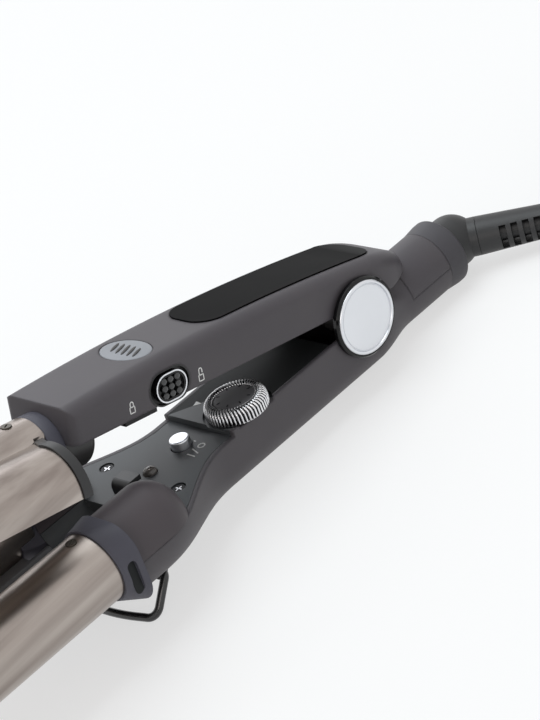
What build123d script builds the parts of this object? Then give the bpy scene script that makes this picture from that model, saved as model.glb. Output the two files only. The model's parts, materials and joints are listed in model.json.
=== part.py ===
"""Triple barrel hair waver with a mains cord.

A lower arm carries two heated barrels. An upper arm turns on a side pivot and carries the middle
barrel with an M-shaped press plate, whose wings close over the lower barrels.

All sizes are in millimetres and degrees. The arms are drawn in a working frame: X runs towards the
cord, -Y is the side with the slide lock, Z is up, and the origin is on the jaw pivot. The upper arm
is drawn closed and then opened about the pivot. At the end the whole tool is tilted until it stands
on its wire stand and its tail, with the middle of its footprint at the origin.
"""
from build123d import *
import math
import os

os.makedirs("parts", exist_ok=True)

# ------------------------------------------------------------------ clearances and walls
seat_gap = 0.1          # between pieces of one arm that sit in each other
running_gap = 0.3       # between pieces that move past each other
shell_wall = 1.8
edge_round = 0.6

# ------------------------------------------------------------------ lower arm
jaw_opening = 12.5      # angle between the arms at rest
neck_half_width = 15.0
neck_start_x = -64.0
deck_level = -1.5       # inner face of the grip, below the pivot axis
panel_drop = 2.0        # step from the deck down to the control panel
panel_thickness = 2.0
grip_depth = 19.0       # from the deck down to the keel
grip_round = 9.0
deck_front_x = -59.0
deck_rear_x = -14.0
body_front_x = -116.0
flare_length = 40.0
flare_half_width = 32.0
flare_depth = 13.6
flare_round = 13.3
tail_radius = 10.6
tail_axis_drop = 10.8   # tail axis below the pivot axis
tail_blend_start_x = 4.0
tail_blend_length = 20.0
tail_length = 19.0
tail_seam_start = 0.6   # parting of the tail tube, behind the blend
tail_collar_length = 7.6
tail_collar_radius = 11.2
tail_mouth_radius = 9.4
collar_band = 2.4
collar_face_depth = 1.8

# ------------------------------------------------------------------ barrels
barrel_spacing = 44.0
outer_barrel_diameter = 22.0
middle_barrel_diameter = 19.0
barrel_wall = 1.2
barrel_length = 115.0   # bright length in front of the collar
barrel_socket = 5.8
lower_barrel_drop = 1.0
middle_barrel_rise = 1.0
barrel_collar_length = 7.3
collar_lip = 0.7
dome_half_width = 11.1
dome_height = 13.6
dome_straight = 15.0
collar_half_width = 12.4
collar_top = 10.2
collar_bottom = -16.4
collar_corner = 9.0
tip_length = 14.0
tip_plug_length = 8.0
tip_lip = 0.3            # tip proud of the tube
heater_radius = 6.0
heater_bore = 2.4
heater_setback = 12.0    # core behind the front of the tube
heater_rings = 4
heater_ring_length = 8.0
heater_first_ring = 20.0
heater_last_ring = 10.0
vent_width = 3.2
vent_length = 11.0
vent_level = -4.5
vent_depth = 1.2
shield_thickness = 2.0
shield_length = 24.0
shield_drop = 6.0

# ------------------------------------------------------------------ upper arm
upper_half_width = 14.5
upper_floor = 3.5
upper_front_x = -113.0
upper_front_height = 14.6
upper_crown_x = -46.0
upper_crown_height = 17.5
upper_rear_top_x = 7.0
upper_rear_height = 15.6
upper_rear_x = 29.0
upper_rear_power = 2.3
upper_edge_round = 4.5
upper_wall = 2.0
front_corner_round = 3.0
cover_rear_x = -62.0
cover_thickness = 1.8
holder_radius = 9.5
holder_rear_gap = 0.6     # in front of the scoop's rear wall when closed
holder_nose = 5.0
upper_collar_length = 4.5
upper_collar_radius = 10.6
upper_collar_taper = 1.4
collar_floor = 1.4
middle_screw_gap = 6.6

# ------------------------------------------------------------------ press plate
plate_thickness = 1.0
plate_clearance = 0.4   # wing above the lower barrel when closed
plate_start_gap = 5.2   # wing starts this far past the lower collar
wing_arc_end = 70.0     # wing arc ends here, measured up from level
valley_rear_extra = 7.0
valley_edge_y = 7.6
wing_edge_inset = 3.0
plate_frame_overlap = 3.0
plate_frame_length = 3.1
plate_frame_thickness = 0.6

# ------------------------------------------------------------------ pivot
pin_radius = 3.0
ear_inner_y = 9.6
ear_thickness = 2.6
ear_radius = 7.0
ear_half_length = 7.0
pivot_ring_radius = 12.4
pivot_cap_radius = 11.4
pivot_ring_depth = 1.7
pivot_cap_proud = 0.5
pivot_cap_seat = 0.9
pivot_cap_dish = 0.6
knuckle_radius = 6.0
knuckle_half_length = 6.0
spring_slot_half = 3.4
spring_wire = 1.1
spring_turns = 4
spring_pitch = 1.3
spring_radius = 4.4
spring_leg = 8.5
pivot_edge = 0.5
pivot_lip_width = 1.2

# ------------------------------------------------------------------ controls
dial_x = -48.9
dial_y = -7.1
dial_radius = 9.8
dial_inner_radius = 6.5
dial_height = 5.0
dial_shoulder = 4.0
dial_inner_drop = 0.5
dial_lift = 0.3
dial_teeth = 52
dial_tooth_depth = 0.7
dial_recess_depth = 0.9
dial_recess_gap = 0.9
dial_dome_rise = 0.5
dial_cap_depth = 1.0
dial_shaft_radius = 2.5
dial_crown_flat = 0.6
dial_cap_sink = 0.2
pot_size = 11.0
pot_height = 5.0
pot_floor = 1.0
button_x = -67.8
control_y = -0.8
button_radius = 3.1
button_proud = 2.9
button_depth = 3.0
button_travel = 1.2
button_edge = 0.5
switch_length = 9.0
switch_width = 8.0
switch_height = 5.0
lamp_x = -81.3
lamp_radius = 2.2
lamp_proud = 1.9
lamp_stem = 4.0
hook_x = -91.0
hook_width = 7.0
hook_length = 4.2
hook_height = 4.3
hook_lip = 1.8
hook_lip_thickness = 1.5
hook_round = 2.4
latch_gap = 0.7         # tongue below the hook's lip, with the jaw pressed fully shut
board_length = 62.0
board_width = 20.0
board_thickness = 1.6
board_front_gap = 3.2   # behind the scoop
panel_screw_x = -84.0
panel_screw_y = 15.5
screw_head_radius = 2.0
screw_head_height = 0.8
screw_head_sink = 0.3
screw_length = 7.0
cross_length = 2.6
cross_width = 0.6
cross_depth = 0.4
barrel_screw_radius = 1.6
barrel_screw_gap = 4.0
barrel_screw_length = 3.0
barrel_screw_proud = 0.3
slot_turn = 35.0
slot_size = (2.2, 0.5, 0.6)
scoop_radius = 11.5
scoop_length = 17.6
scoop_wall = 1.2

# ------------------------------------------------------------------ slide lock on the upper arm
slot_x = -76.7
slot_level = 7.7
slot_length = 15.6
slot_height = 10.4
slot_depth = 1.5
slot_rim = 0.5
slider_length = 11.6
slider_height = 8.6
slider_proud = 0.8
slider_travel = 1.2     # each way from the middle
slider_rib = 0.9
slider_border = 1.1
slider_hollow = 0.7
slider_ribs = 3
slider_rib_pitch = 2.52
slider_rib_inset = 0.9
tongue_thickness = 1.4
tongue_width = 4.0
fork_room = 12.0         # opening in front of the tongue

# ------------------------------------------------------------------ badge, emblem, screws
badge_front_x = -56.5
badge_length = 71.5
badge_width = 19.6
badge_round = 7.5
badge_proud = 0.4
inlay_depth = 1.2
inlay_room = 1.0
emblem_x = -78.5
emblem_length = 13.0
emblem_width = 18.0
cover_screw_x = -70.0
cover_screw_y = 8.0

# ------------------------------------------------------------------ wire stand
stand_wire_radius = 1.25
stand_pivot_x = -101.5
stand_pivot_level = -19.6
stand_half_width = 20.0
stand_corner_x = -110.0
stand_drop = 10.4
stand_bow = 4.5
stand_bend = 4.0
stand_tenon = 4.0
lug_radius = 2.7
lug_width = 3.4
lug_foot = 5.0
stand_bow_radius = 60.0

# ------------------------------------------------------------------ cord
cord_diameter = 6.5
swivel_center_x = 56.0
swivel_ball_radius = 8.6
swivel_neck_radius = 6.0
swivel_neck_reach = 12.0    # neck behind the end of the tail
swivel_flange_radius = 8.3
swivel_flange_length = 3.0
relief_heading = -47.5      # in plan, from the tail's axis
relief_fall = -0.05
relief_length = 45.0
relief_root_radius = 6.2
relief_tip_radius = 4.6
relief_slots = 9
relief_slot_pitch = 3.7
relief_slot_width = 2.1
relief_smooth = 7.0
relief_window = 8.0         # height of the slots in the relief's sides
lead_straight = 12.0
coil_columns = 3
coil_layers = 4
coil_turns = 10.4
coil_mean_radius = 34.0
coil_center = (238.0, -38.0)
coil_round = 2.0
tie_width = 12.0
tie_thickness = 1.0
tie_bearing = 120.0
cord_end_run = 8.0       # level stretch at each end of the rise to the plug
cord_end_rise = 16.0
plug_length = 34.0
plug_width = 26.0
plug_thickness = 13.7
plug_neck_length = 7.0
plug_neck_radius = 5.0
plug_shoulder = 6.0
plug_shoulder_length = 10.0
plug_corner = 2.5
plug_edge = 1.2
pin_length = 19.0
plug_pin_radius = 2.0
plug_pin_nose = 1.2
pin_spacing = 18.6

# ------------------------------------------------------------------ values that follow
panel_level = deck_level - panel_drop
keel_level = deck_level - grip_depth
flare_end_x = neck_start_x - flare_length
barrel_y = barrel_spacing / 2
barrel_radius = outer_barrel_diameter / 2
middle_radius = middle_barrel_diameter / 2
tail_start_x = tail_blend_start_x + tail_blend_length
tail_seam_x = tail_start_x + tail_seam_start
tail_end_x = tail_start_x + tail_length
tail_tip_x = tail_end_x + tail_collar_length
scoop_rear_x = body_front_x + scoop_length
board_front_x = scoop_rear_x + scoop_wall + board_front_gap
collar_front_x = body_front_x - barrel_collar_length
barrel_front_x = collar_front_x - barrel_length
plate_rear_x = collar_front_x - plate_start_gap
lower_screw_x = collar_front_x - barrel_screw_gap
middle_screw_x = upper_front_x - upper_collar_length - middle_screw_gap
wing_inner_radius = barrel_radius + plate_clearance
wing_outer_radius = wing_inner_radius + plate_thickness
saddle_radius = middle_radius + seat_gap
wide = 2 * flare_half_width     # past every side of the tool


# ------------------------------------------------------------------ plain helpers
def block(x0, x1, y0, y1, z0, z1):
    """Box between two corners."""
    return Pos((x0 + x1) / 2, (y0 + y1) / 2, (z0 + z1) / 2) * Box(x1 - x0, y1 - y0, z1 - z0)


def rod_x(radius, x0, x1, y=0.0, z=0.0):
    """Round bar along X."""
    return Pos((x0 + x1) / 2, y, z) * Rot(0, 90, 0) * Cylinder(radius, x1 - x0)


def rod_y(radius, y0, y1, x=0.0, z=0.0):
    """Round bar along Y."""
    return Pos(x, (y0 + y1) / 2, z) * Rot(90, 0, 0) * Cylinder(radius, y1 - y0)


def rod_z(radius, z0, z1, x=0.0, y=0.0):
    """Round bar along Z."""
    return Pos(x, y, (z0 + z1) / 2) * Cylinder(radius, z1 - z0)


def across(x):
    """Plane across the arm at a station, drawn in (Y, Z)."""
    return Plane(origin=(x, 0, 0), x_dir=(0, 1, 0), z_dir=(1, 0, 0))


def mix(start, end, share):
    """Value between two others."""
    return start + (end - start) * share


def ease(share):
    """Smooth step from 0 to 1."""
    share = min(1.0, max(0.0, share))
    return share * share * (3 - 2 * share)


def rounded_section(x, half_width, top, bottom, top_round, bottom_round):
    """Rounded box section of an arm at a station."""
    corners = [(-half_width, bottom), (half_width, bottom), (half_width, top), (-half_width, top)]
    rounds = [bottom_round, bottom_round, top_round, top_round]
    return across(x) * make_face(FilletPolyline(*corners, radius=rounds, close=True))


def turned(profile, y=0.0, z=0.0):
    """Solid of revolution about an axis along X, from (x, radius) points."""
    outline = Polyline(*[(x, 0, radius) for x, radius in profile], close=True)
    return Pos(0, y, z) * revolve(make_face(outline), axis=Axis.X)


def both_sides(piece):
    """A piece and its mirror image across the middle plane."""
    return piece, mirror(piece, Plane.XZ)


# ------------------------------------------------------------------ lower arm body
def lower_station(x, inset):
    """Section of the lower arm's outer form, or of its inside when inset is a wall."""
    flare = ease((neck_start_x - x) / flare_length)
    tail = ease((x - tail_blend_start_x) / tail_blend_length)
    half_width = mix(neck_half_width, flare_half_width, flare)
    half_width = mix(half_width, tail_radius, tail)
    floor = mix(keel_level, panel_level - flare_depth, flare)
    floor = mix(floor, -tail_axis_drop - tail_radius, tail)
    top = mix(deck_level, tail_radius - tail_axis_drop, tail)
    bottom_round = mix(grip_round, flare_round, flare)
    bottom_round = mix(bottom_round, tail_radius - 0.1, tail) - inset
    top_round = mix(edge_round, tail_radius - 0.1, tail)
    if inset:
        top = mix(-deck_level, top - inset, tail)
        top_round = mix(edge_round, tail_radius - 0.1 - inset, tail)
    return rounded_section(x, half_width - inset, top, floor + inset, top_round, bottom_round)


def lower_form(front_x, rear_x, inset):
    """Lower arm between two stations: flared front, straight grip, tail blend and tail."""
    steps = 8
    flare = [mix(front_x, neck_start_x, step / steps) for step in range(steps + 1)]
    blend = [mix(tail_blend_start_x, tail_start_x, step / steps) for step in range(steps + 1)]
    form = loft([lower_station(x, inset) for x in flare])
    form += extrude(lower_station(neck_start_x, inset), tail_blend_start_x - neck_start_x)
    form += loft([lower_station(x, inset) for x in blend])
    form += extrude(lower_station(tail_start_x, inset), rear_x - tail_start_x)
    return form


lower_outer = lower_form(body_front_x, tail_end_x, 0.0)
lower_inner = lower_form(body_front_x + shell_wall, tail_end_x + 1.0, shell_wall)
scoop_outer = rod_x(scoop_radius + scoop_wall, body_front_x - 1, scoop_rear_x + scoop_wall, 0,
                    middle_barrel_rise)
scoop_inner = rod_x(scoop_radius, body_front_x - 2, scoop_rear_x, 0, middle_barrel_rise)
above_panel = block(body_front_x - 5, deck_front_x, -wide, wide, panel_level, wide)
tail_upper_zone = block(tail_seam_x, tail_end_x + 5, -wide, wide, -tail_axis_drop, wide)


def make_lower_shell():
    """Outer shell of the lower arm: flared front, grip, pivot ears and lower half of the tail."""
    shell = lower_outer - lower_inner - above_panel - tail_upper_zone
    scoop_cut = rod_x(scoop_radius + scoop_wall + seat_gap, body_front_x - 1, body_front_x + 5, 0,
                      middle_barrel_rise)
    shell -= scoop_cut
    floor = keel_level + shell_wall / 2
    for side in (-1, 1):
        ear_middle = side * (ear_inner_y + ear_thickness / 2)
        web = Pos(0, ear_middle, floor / 2) * Box(2 * ear_half_length, ear_thickness, -floor)
        eye = rod_y(ear_radius, ear_middle - ear_thickness / 2, ear_middle + ear_thickness / 2)
        shell += (web & lower_outer) + eye
        lug_y = side * (stand_half_width - stand_bend / 2 - lug_width / 2)
        lug = rod_y(lug_radius, lug_y - lug_width / 2, lug_y + lug_width / 2, stand_pivot_x,
                    stand_pivot_level)
        foot = block(stand_pivot_x - lug_radius, stand_pivot_x + lug_radius, lug_y - lug_width / 2,
                     lug_y + lug_width / 2, stand_pivot_level, stand_pivot_level + lug_foot)
        shell += lug + (foot - lower_inner)
    shell -= rod_y(pin_radius + seat_gap / 2, -wide, wide)
    shell -= rod_y(stand_wire_radius + seat_gap, -stand_half_width, stand_half_width, stand_pivot_x,
                   stand_pivot_level)
    shell -= rod_z(dial_radius + dial_recess_gap, deck_level - dial_recess_depth, wide, dial_x, dial_y)
    return shell


def make_tail_upper_shell():
    """Upper half of the tail tube, parted from the lower shell along the tail's middle."""
    zone = block(tail_seam_x + seat_gap, tail_end_x, -wide, wide, -tail_axis_drop + seat_gap, wide)
    return (lower_outer - lower_inner) & zone


def make_tail_collar():
    """Flared ring nut that closes the tail and holds the cord swivel."""
    front = tail_end_x + seat_gap
    bore = swivel_neck_radius + running_gap
    profile = [
        (front, bore), (front, tail_radius), (tail_tip_x - collar_band, tail_collar_radius),
        (tail_tip_x - edge_round, tail_collar_radius), (tail_tip_x, tail_collar_radius - edge_round),
        (tail_tip_x, tail_mouth_radius), (tail_end_x + collar_face_depth, tail_mouth_radius - 0.5),
        (tail_end_x + collar_face_depth, bore),
    ]
    return turned(profile, 0, -tail_axis_drop)


def make_control_panel():
    """Inner face of the flared front, with the scoop that takes the middle barrel's holder."""
    inside = lower_form(body_front_x + shell_wall + seat_gap, tail_end_x, shell_wall + seat_gap)
    sheet = inside & block(body_front_x - 5, deck_front_x - seat_gap, -wide, wide,
                           panel_level - panel_thickness, panel_level)
    below = block(body_front_x - 5, deck_front_x, -wide, wide, -wide, panel_level)
    trough = (scoop_outer & below) & block(body_front_x, 0, -wide, wide, -wide, wide)
    panel = sheet + trough - scoop_inner
    panel -= rod_z(button_radius + running_gap, -wide, 0, button_x, control_y)
    panel -= rod_z(lamp_radius + seat_gap, -wide, 0, lamp_x, control_y)
    for side in (-1, 1):
        panel -= rod_z(screw_head_radius + running_gap, panel_level - screw_head_sink
                       - screw_head_height, 0, panel_screw_x, side * panel_screw_y)
        panel -= rod_z(screw_head_radius / 2 + seat_gap, -wide, 0, panel_screw_x,
                       side * panel_screw_y)
    return panel


def make_dial_deck():
    """Raised inner face around the temperature dial, behind the control panel."""
    inside = lower_form(body_front_x + shell_wall, tail_end_x, shell_wall + seat_gap)
    deck = inside & block(deck_front_x, deck_rear_x, -wide, wide, panel_level - panel_thickness,
                          deck_level)
    recess = rod_z(dial_radius + dial_recess_gap, deck_level - dial_recess_depth, wide, dial_x, dial_y)
    shaft = rod_z(dial_shaft_radius + running_gap, -wide, wide, dial_x, dial_y)
    return deck - recess - shaft


def make_barrel_dome():
    """Rounded cover over the root of the near barrel."""
    straight_end = body_front_x + dome_straight
    solids = []
    for wall in (0.0, shell_wall):
        half_width = dome_half_width - wall
        height = dome_height - wall
        tube = extrude(across(body_front_x) * Ellipse(half_width, height), dome_straight)
        nose = scale(Sphere(half_width), by=(1, 1, height / half_width))
        solids.append(tube + Pos(straight_end, 0, 0) * nose)
    dome_y = -flare_half_width + dome_half_width
    dome = Pos(0, dome_y, panel_level) * (solids[0] - solids[1])
    keep = block(body_front_x, straight_end + wide, -wide, 0, panel_level + seat_gap, wide)
    middle = rod_x(scoop_radius + seat_gap, body_front_x - 5, 0, 0, middle_barrel_rise)
    arm_room = block(body_front_x - 5, 0, -upper_half_width - running_gap, 0,
                     upper_floor - running_gap, wide)
    return (dome & keep) - middle - arm_room


def make_barrel_collar():
    """Vented ring in front of the near housing that holds the near barrel."""
    front_radius = barrel_radius + collar_lip
    front = Pos(0, -barrel_y, -lower_barrel_drop) * (
        across(collar_front_x) * RectangleRounded(2 * front_radius, 2 * front_radius,
                                                  front_radius - 0.01))
    rear = Pos(0, -barrel_y, (collar_top + collar_bottom) / 2) * (
        across(body_front_x) * RectangleRounded(2 * collar_half_width, collar_top - collar_bottom,
                                                collar_corner))
    ring = loft([front, rear])
    ring -= rod_x(barrel_radius + seat_gap / 2, collar_front_x - 1, collar_front_x + barrel_socket,
                  -barrel_y, -lower_barrel_drop)
    ring -= rod_x(heater_radius + 1, collar_front_x, body_front_x + 1, -barrel_y, -lower_barrel_drop)
    ring -= rod_x(scoop_radius + running_gap, collar_front_x - 5, 0, 0, middle_barrel_rise)
    vent_x = (collar_front_x + body_front_x) / 2
    vent = Plane(origin=(vent_x, -barrel_y - collar_half_width, vent_level), x_dir=(0, 0, 1),
                 z_dir=(0, -1, 0)) * SlotOverall(vent_length, vent_width)
    return ring - extrude(vent, vent_depth, both=True)


def make_barrel(radius, screw_x):
    """Heated tube of a barrel, from its socket to its tip, on the X axis."""
    tube = rod_x(radius, barrel_front_x, collar_front_x + barrel_socket)
    tube -= rod_x(radius - barrel_wall, barrel_front_x - 1, 0)
    return tube - rod_z(barrel_screw_radius + seat_gap, 0, radius + 1, screw_x, 0)


def make_tip(radius):
    """Cool plastic cap on the end of a barrel, with a plug that goes into the tube."""
    end_x = barrel_front_x - tip_length
    bore = radius - barrel_wall - seat_gap
    profile = [
        (barrel_front_x + tip_plug_length, 0), (barrel_front_x + tip_plug_length, bore),
        (barrel_front_x - seat_gap / 2, bore), (barrel_front_x - seat_gap / 2, radius + tip_lip),
        (end_x + 6, radius + 0.1),
        (end_x + 2.5, radius - 1.6), (end_x + 0.6, radius - 4.6), (end_x, radius - 8), (end_x, 0),
    ]
    return turned(profile)


def make_heater(radius):
    """Ceramic heater core inside a barrel, held on a finned spreader."""
    core = rod_x(heater_radius, barrel_front_x + heater_setback, collar_front_x + barrel_socket)
    core -= rod_x(heater_bore, barrel_front_x, 0)
    inner = radius - barrel_wall - seat_gap
    half = heater_ring_length / 2
    for step in range(heater_rings):
        middle = mix(barrel_front_x + heater_first_ring, collar_front_x - heater_last_ring,
                     step / (heater_rings - 1))
        ring = rod_x(inner, middle - half, middle + half)
        core += ring - rod_x(heater_radius - 0.5, middle - half - 1, middle + half + 1)
    return core


def make_heat_shield():
    """Bridge between the two lower barrels, with a trough in line with the scoop."""
    level = -lower_barrel_drop - shield_drop
    front = collar_front_x - shield_length
    rear = body_front_x - seat_gap
    half = barrel_y - collar_half_width - seat_gap
    plate = block(front, collar_front_x - seat_gap, -barrel_y, barrel_y, level - shield_thickness,
                  level)
    for side in (-1, 1):
        plate -= rod_x(barrel_radius + seat_gap, front - 1, 0, side * barrel_y, -lower_barrel_drop)
    root = block(collar_front_x - 1, rear, -half, half, level - shield_thickness, level)
    trough = rod_x(scoop_radius + scoop_wall, front, rear, 0, middle_barrel_rise)
    trough = trough & block(front, rear, -half, half, -wide, level)
    channel = rod_x(scoop_radius, front - 1, rear + 1, 0, middle_barrel_rise)
    return plate + root + trough - channel


def make_latch_hook():
    """Catch that stands on the panel; the lock tongue slides under its lip."""
    half = hook_width / 2
    top = panel_level + hook_height
    post = block(hook_x - hook_length / 2, hook_x + hook_length / 2, control_y - half,
                 control_y + half, panel_level, top)
    post = fillet(post.edges().filter_by(Axis.Y).group_by(Axis.Z)[-1].sort_by(Axis.X)[0], hook_round)
    lip = block(hook_x, hook_x + hook_length / 2 + hook_lip, control_y - half, control_y + half,
                top - hook_lip_thickness, top)
    return post + lip


def make_panel_screws():
    """Two cross-head screws that hold the control panel."""
    head_top = panel_level - screw_head_sink
    screw = rod_z(screw_head_radius, head_top - screw_head_height, head_top, panel_screw_x,
                  -panel_screw_y)
    screw += rod_z(screw_head_radius / 2, head_top - screw_length, head_top, panel_screw_x,
                   -panel_screw_y)
    for turn in (0, 90):
        screw -= Pos(panel_screw_x, -panel_screw_y, head_top) * Rot(0, 0, turn) * Box(
            cross_length, cross_width, 2 * cross_depth)
    near, far = both_sides(screw)
    return near + far


def make_barrel_screw(radius, screw_x):
    """Small screw through the top of a barrel tube, on the X axis."""
    top = radius + barrel_screw_proud
    screw = rod_z(barrel_screw_radius, top - barrel_wall - barrel_screw_length, top, screw_x, 0)
    return screw - Pos(screw_x, 0, top) * Rot(0, 0, slot_turn) * Box(*slot_size)


def make_control_board():
    """Printed board under the panel."""
    level = panel_level - panel_thickness - switch_height - board_thickness
    return block(board_front_x, board_front_x + board_length, -board_width / 2, board_width / 2,
                 level, level + board_thickness)


def make_switch_body():
    """Push switch under the power button."""
    top = panel_level - panel_thickness
    body = Pos(button_x, control_y, top - switch_height / 2) * Box(switch_length, switch_width,
                                                                   switch_height)
    well = rod_z(button_radius + running_gap, top - button_depth, 0, button_x, control_y)
    return body - well


def make_power_button():
    """Round push button."""
    top = panel_level + button_proud
    bottom = panel_level - panel_thickness - button_depth + button_travel + running_gap
    body = rod_z(button_radius, bottom, top, button_x, control_y)
    return fillet(body.edges().group_by(Axis.Z)[-1], button_edge)


def make_status_lamp():
    """Domed lens of the status lamp with its stem."""
    stem = rod_z(lamp_radius, panel_level - lamp_stem, panel_level, lamp_x, control_y)
    dome = Pos(lamp_x, control_y, panel_level) * scale(
        Sphere(lamp_radius), by=(1, 1, lamp_proud / lamp_radius))
    return stem + dome


def make_temperature_control():
    """Rotary control under the dial."""
    top = panel_level - panel_thickness
    body = Pos(dial_x, dial_y, top - pot_height / 2) * Box(pot_size, pot_size, pot_height)
    return body - rod_z(dial_shaft_radius + running_gap, top - pot_height + pot_floor, 0, dial_x,
                        dial_y)


# ------------------------------------------------------------------ temperature dial
dial_bottom = deck_level + dial_lift - dial_recess_depth


def make_temperature_dial():
    """Knurled ring with its hub and shaft."""
    points = []
    for tooth in range(dial_teeth):
        for share, radius in ((0.0, dial_radius), (0.5, dial_radius - dial_tooth_depth)):
            angle = 2 * math.pi * (tooth + share) / dial_teeth
            points.append((radius * math.cos(angle), radius * math.sin(angle)))
    ring = extrude(make_face(Polyline(*points, close=True)), dial_height)
    crown = (dial_radius + dial_inner_radius) / 2
    rim = dial_height - dial_inner_drop
    bowl = [(0, -1), (dial_radius + 1, -1), (dial_radius + 1, dial_shoulder),
            (dial_radius, dial_shoulder), (crown + dial_crown_flat, dial_height), (crown, dial_height),
            (dial_inner_radius, rim), (dial_inner_radius, rim - dial_cap_depth),
            (0, rim - dial_cap_depth)]
    envelope = revolve(make_face(Polyline(*[(r, 0, z) for r, z in bowl], close=True)), axis=Axis.Z)
    ring = ring & envelope
    ring = Pos(dial_x, dial_y, dial_bottom) * ring
    shaft_bottom = panel_level - panel_thickness - pot_height + pot_floor + running_gap
    return ring + rod_z(dial_shaft_radius, shaft_bottom, dial_bottom + 1, dial_x, dial_y)


def make_dial_cap():
    """Domed centre of the dial."""
    cap_radius = dial_inner_radius - seat_gap / 2
    base = dial_height - dial_inner_drop - dial_cap_depth
    rise = dial_cap_depth - dial_cap_sink + dial_dome_rise
    ball_radius = (cap_radius ** 2 + rise ** 2) / (2 * rise)
    ball = Pos(0, 0, base + rise - ball_radius) * Sphere(ball_radius)
    cap = ball & rod_z(cap_radius, base, base + rise + 1)
    return Pos(dial_x, dial_y, dial_bottom) * cap


# ------------------------------------------------------------------ pivot
def make_pivot_pin():
    """Pin through the ears of the lower arm and the upper arm's knuckle."""
    return rod_y(pin_radius, -neck_half_width, neck_half_width)


def make_pivot_ring():
    """Dark ring on the near side of the pivot."""
    inner = -neck_half_width - seat_gap
    outer = inner - pivot_ring_depth
    seat = outer + pivot_cap_seat
    profile = [(0, inner), (pivot_ring_radius, inner), (pivot_ring_radius, outer + pivot_edge),
               (pivot_ring_radius - pivot_edge, outer), (pivot_cap_radius + seat_gap, outer),
               (pivot_cap_radius + seat_gap, seat), (0, seat)]
    return revolve(make_face(Polyline(*[(r, y, 0) for r, y in profile], close=True)), axis=Axis.Y)


def make_pivot_cap():
    """Bright dished cap in the near pivot ring."""
    inner = -neck_half_width - seat_gap - pivot_ring_depth + pivot_cap_seat - seat_gap / 2
    outer = -neck_half_width - seat_gap - pivot_ring_depth - pivot_cap_proud
    lip = pivot_cap_radius - pivot_lip_width
    dish = ThreePointArc((0, outer + pivot_cap_dish), (lip / 2, outer + 0.75 * pivot_cap_dish),
                         (lip, outer))
    sides = Polyline((lip, outer), (pivot_cap_radius - pivot_edge, outer),
                     (pivot_cap_radius, outer + pivot_edge), (pivot_cap_radius, inner), (0, inner),
                     (0, outer + pivot_cap_dish))
    return revolve(make_face([dish, sides]), axis=Axis.Y)


def make_jaw_spring():
    """Torsion spring around the pivot pin that holds the jaws open."""
    height = spring_turns * spring_pitch
    path = Pos(0, height / 2, 0) * Rot(90, 0, 0) * Helix(spring_pitch, height, spring_radius)
    start = path @ 0
    along = path % 0
    wire = Plane(origin=start, z_dir=along) * Circle(spring_wire / 2)
    coil = sweep(wire, path=path, is_frenet=True)
    first = rod_z(spring_wire / 2, -spring_leg, 0, spring_radius, height / 2)
    last = rod_z(spring_wire / 2, 0, spring_leg, spring_radius, -height / 2)
    return coil + first + last


# ------------------------------------------------------------------ upper arm
def upper_station(x, inset, floor):
    """Section of the upper arm at a station."""
    front_run = (upper_crown_x - x) / (upper_crown_x - upper_front_x)
    rear_run = (x - upper_crown_x) / (upper_rear_top_x - upper_crown_x)
    top = upper_crown_height
    if front_run > 0:
        top -= (upper_crown_height - upper_front_height) * front_run ** 2
    else:
        top -= (upper_crown_height - upper_rear_height) * rear_run ** 2
    round_off = (x - upper_rear_top_x) / (upper_rear_x - inset - upper_rear_top_x)
    share = (1 - max(0.0, round_off) ** upper_rear_power) ** (1 / upper_rear_power)
    half_width = (upper_half_width - inset) * share
    height = (top - inset - upper_floor) * share
    rounding = min(upper_edge_round - 0.8 * inset, 0.7 * half_width, 0.7 * height)
    return rounded_section(x, half_width, upper_floor + height, floor, rounding, 0)


def upper_form(inset, floor):
    """Outer form of the upper arm, or of its inside when inset is a wall."""
    front_x = upper_front_x + inset
    steps = 8
    front = [mix(front_x, upper_rear_top_x, step / steps) for step in range(steps + 1)]
    rear = [mix(upper_rear_top_x, upper_rear_x - inset, share)
            for share in (0, 0.2, 0.4, 0.58, 0.74, 0.86, 0.94, 0.985)]
    body = loft([upper_station(x, inset, floor) for x in front])
    body += loft([upper_station(x, inset, floor) for x in rear])
    half_width = upper_half_width - inset
    plan = Pos((front_x + upper_rear_x) / 2, 0) * Rectangle(upper_rear_x - front_x, 2 * half_width)
    plan = fillet(plan.vertices().group_by(Axis.X)[0], front_corner_round)
    return body & Pos(0, 0, floor - 1) * extrude(plan, upper_crown_height - floor + 3)


upper_outer = upper_form(0.0, upper_floor)
upper_inner = upper_form(upper_wall, upper_floor - 6)


def to_open(piece):
    """Open a piece of the upper arm about the pivot."""
    return Rot(0, jaw_opening, 0) * piece


def to_closed(piece):
    """Bring a piece of the lower arm into the closed upper arm's place."""
    return Rot(0, -jaw_opening, 0) * piece


def badge_outline(grow):
    """Plan outline of the badge inlay: a long panel with well-rounded ends."""
    return Pos(badge_front_x + badge_length / 2, 0) * RectangleRounded(
        badge_length + 2 * grow, badge_width + 2 * grow, badge_round + grow)


def inlay(outline, proud, depth):
    """Layer of the upper arm's top inside an outline."""
    column = Pos(0, 0, upper_floor + depth) * extrude(outline, 2 * upper_crown_height)
    raised = (Pos(0, 0, proud) * upper_outer) & column
    return raised - Pos(0, 0, -depth) * upper_outer


def slot_oval(length, height, y0, y1):
    """Oval prism in the near wall of the upper arm."""
    outline = Plane(origin=(slot_x, 0, slot_level), x_dir=(1, 0, 0), z_dir=(0, -1, 0)) * SlotOverall(
        length, height)
    return Pos(0, y1, 0) * extrude(outline, y1 - y0)


emblem_outline = Pos(emblem_x, 0) * Ellipse(emblem_length / 2, emblem_width / 2)
emblem_hole = Pos(emblem_x, 0) * Ellipse(emblem_length / 2 + seat_gap, emblem_width / 2 + seat_gap)


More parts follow.
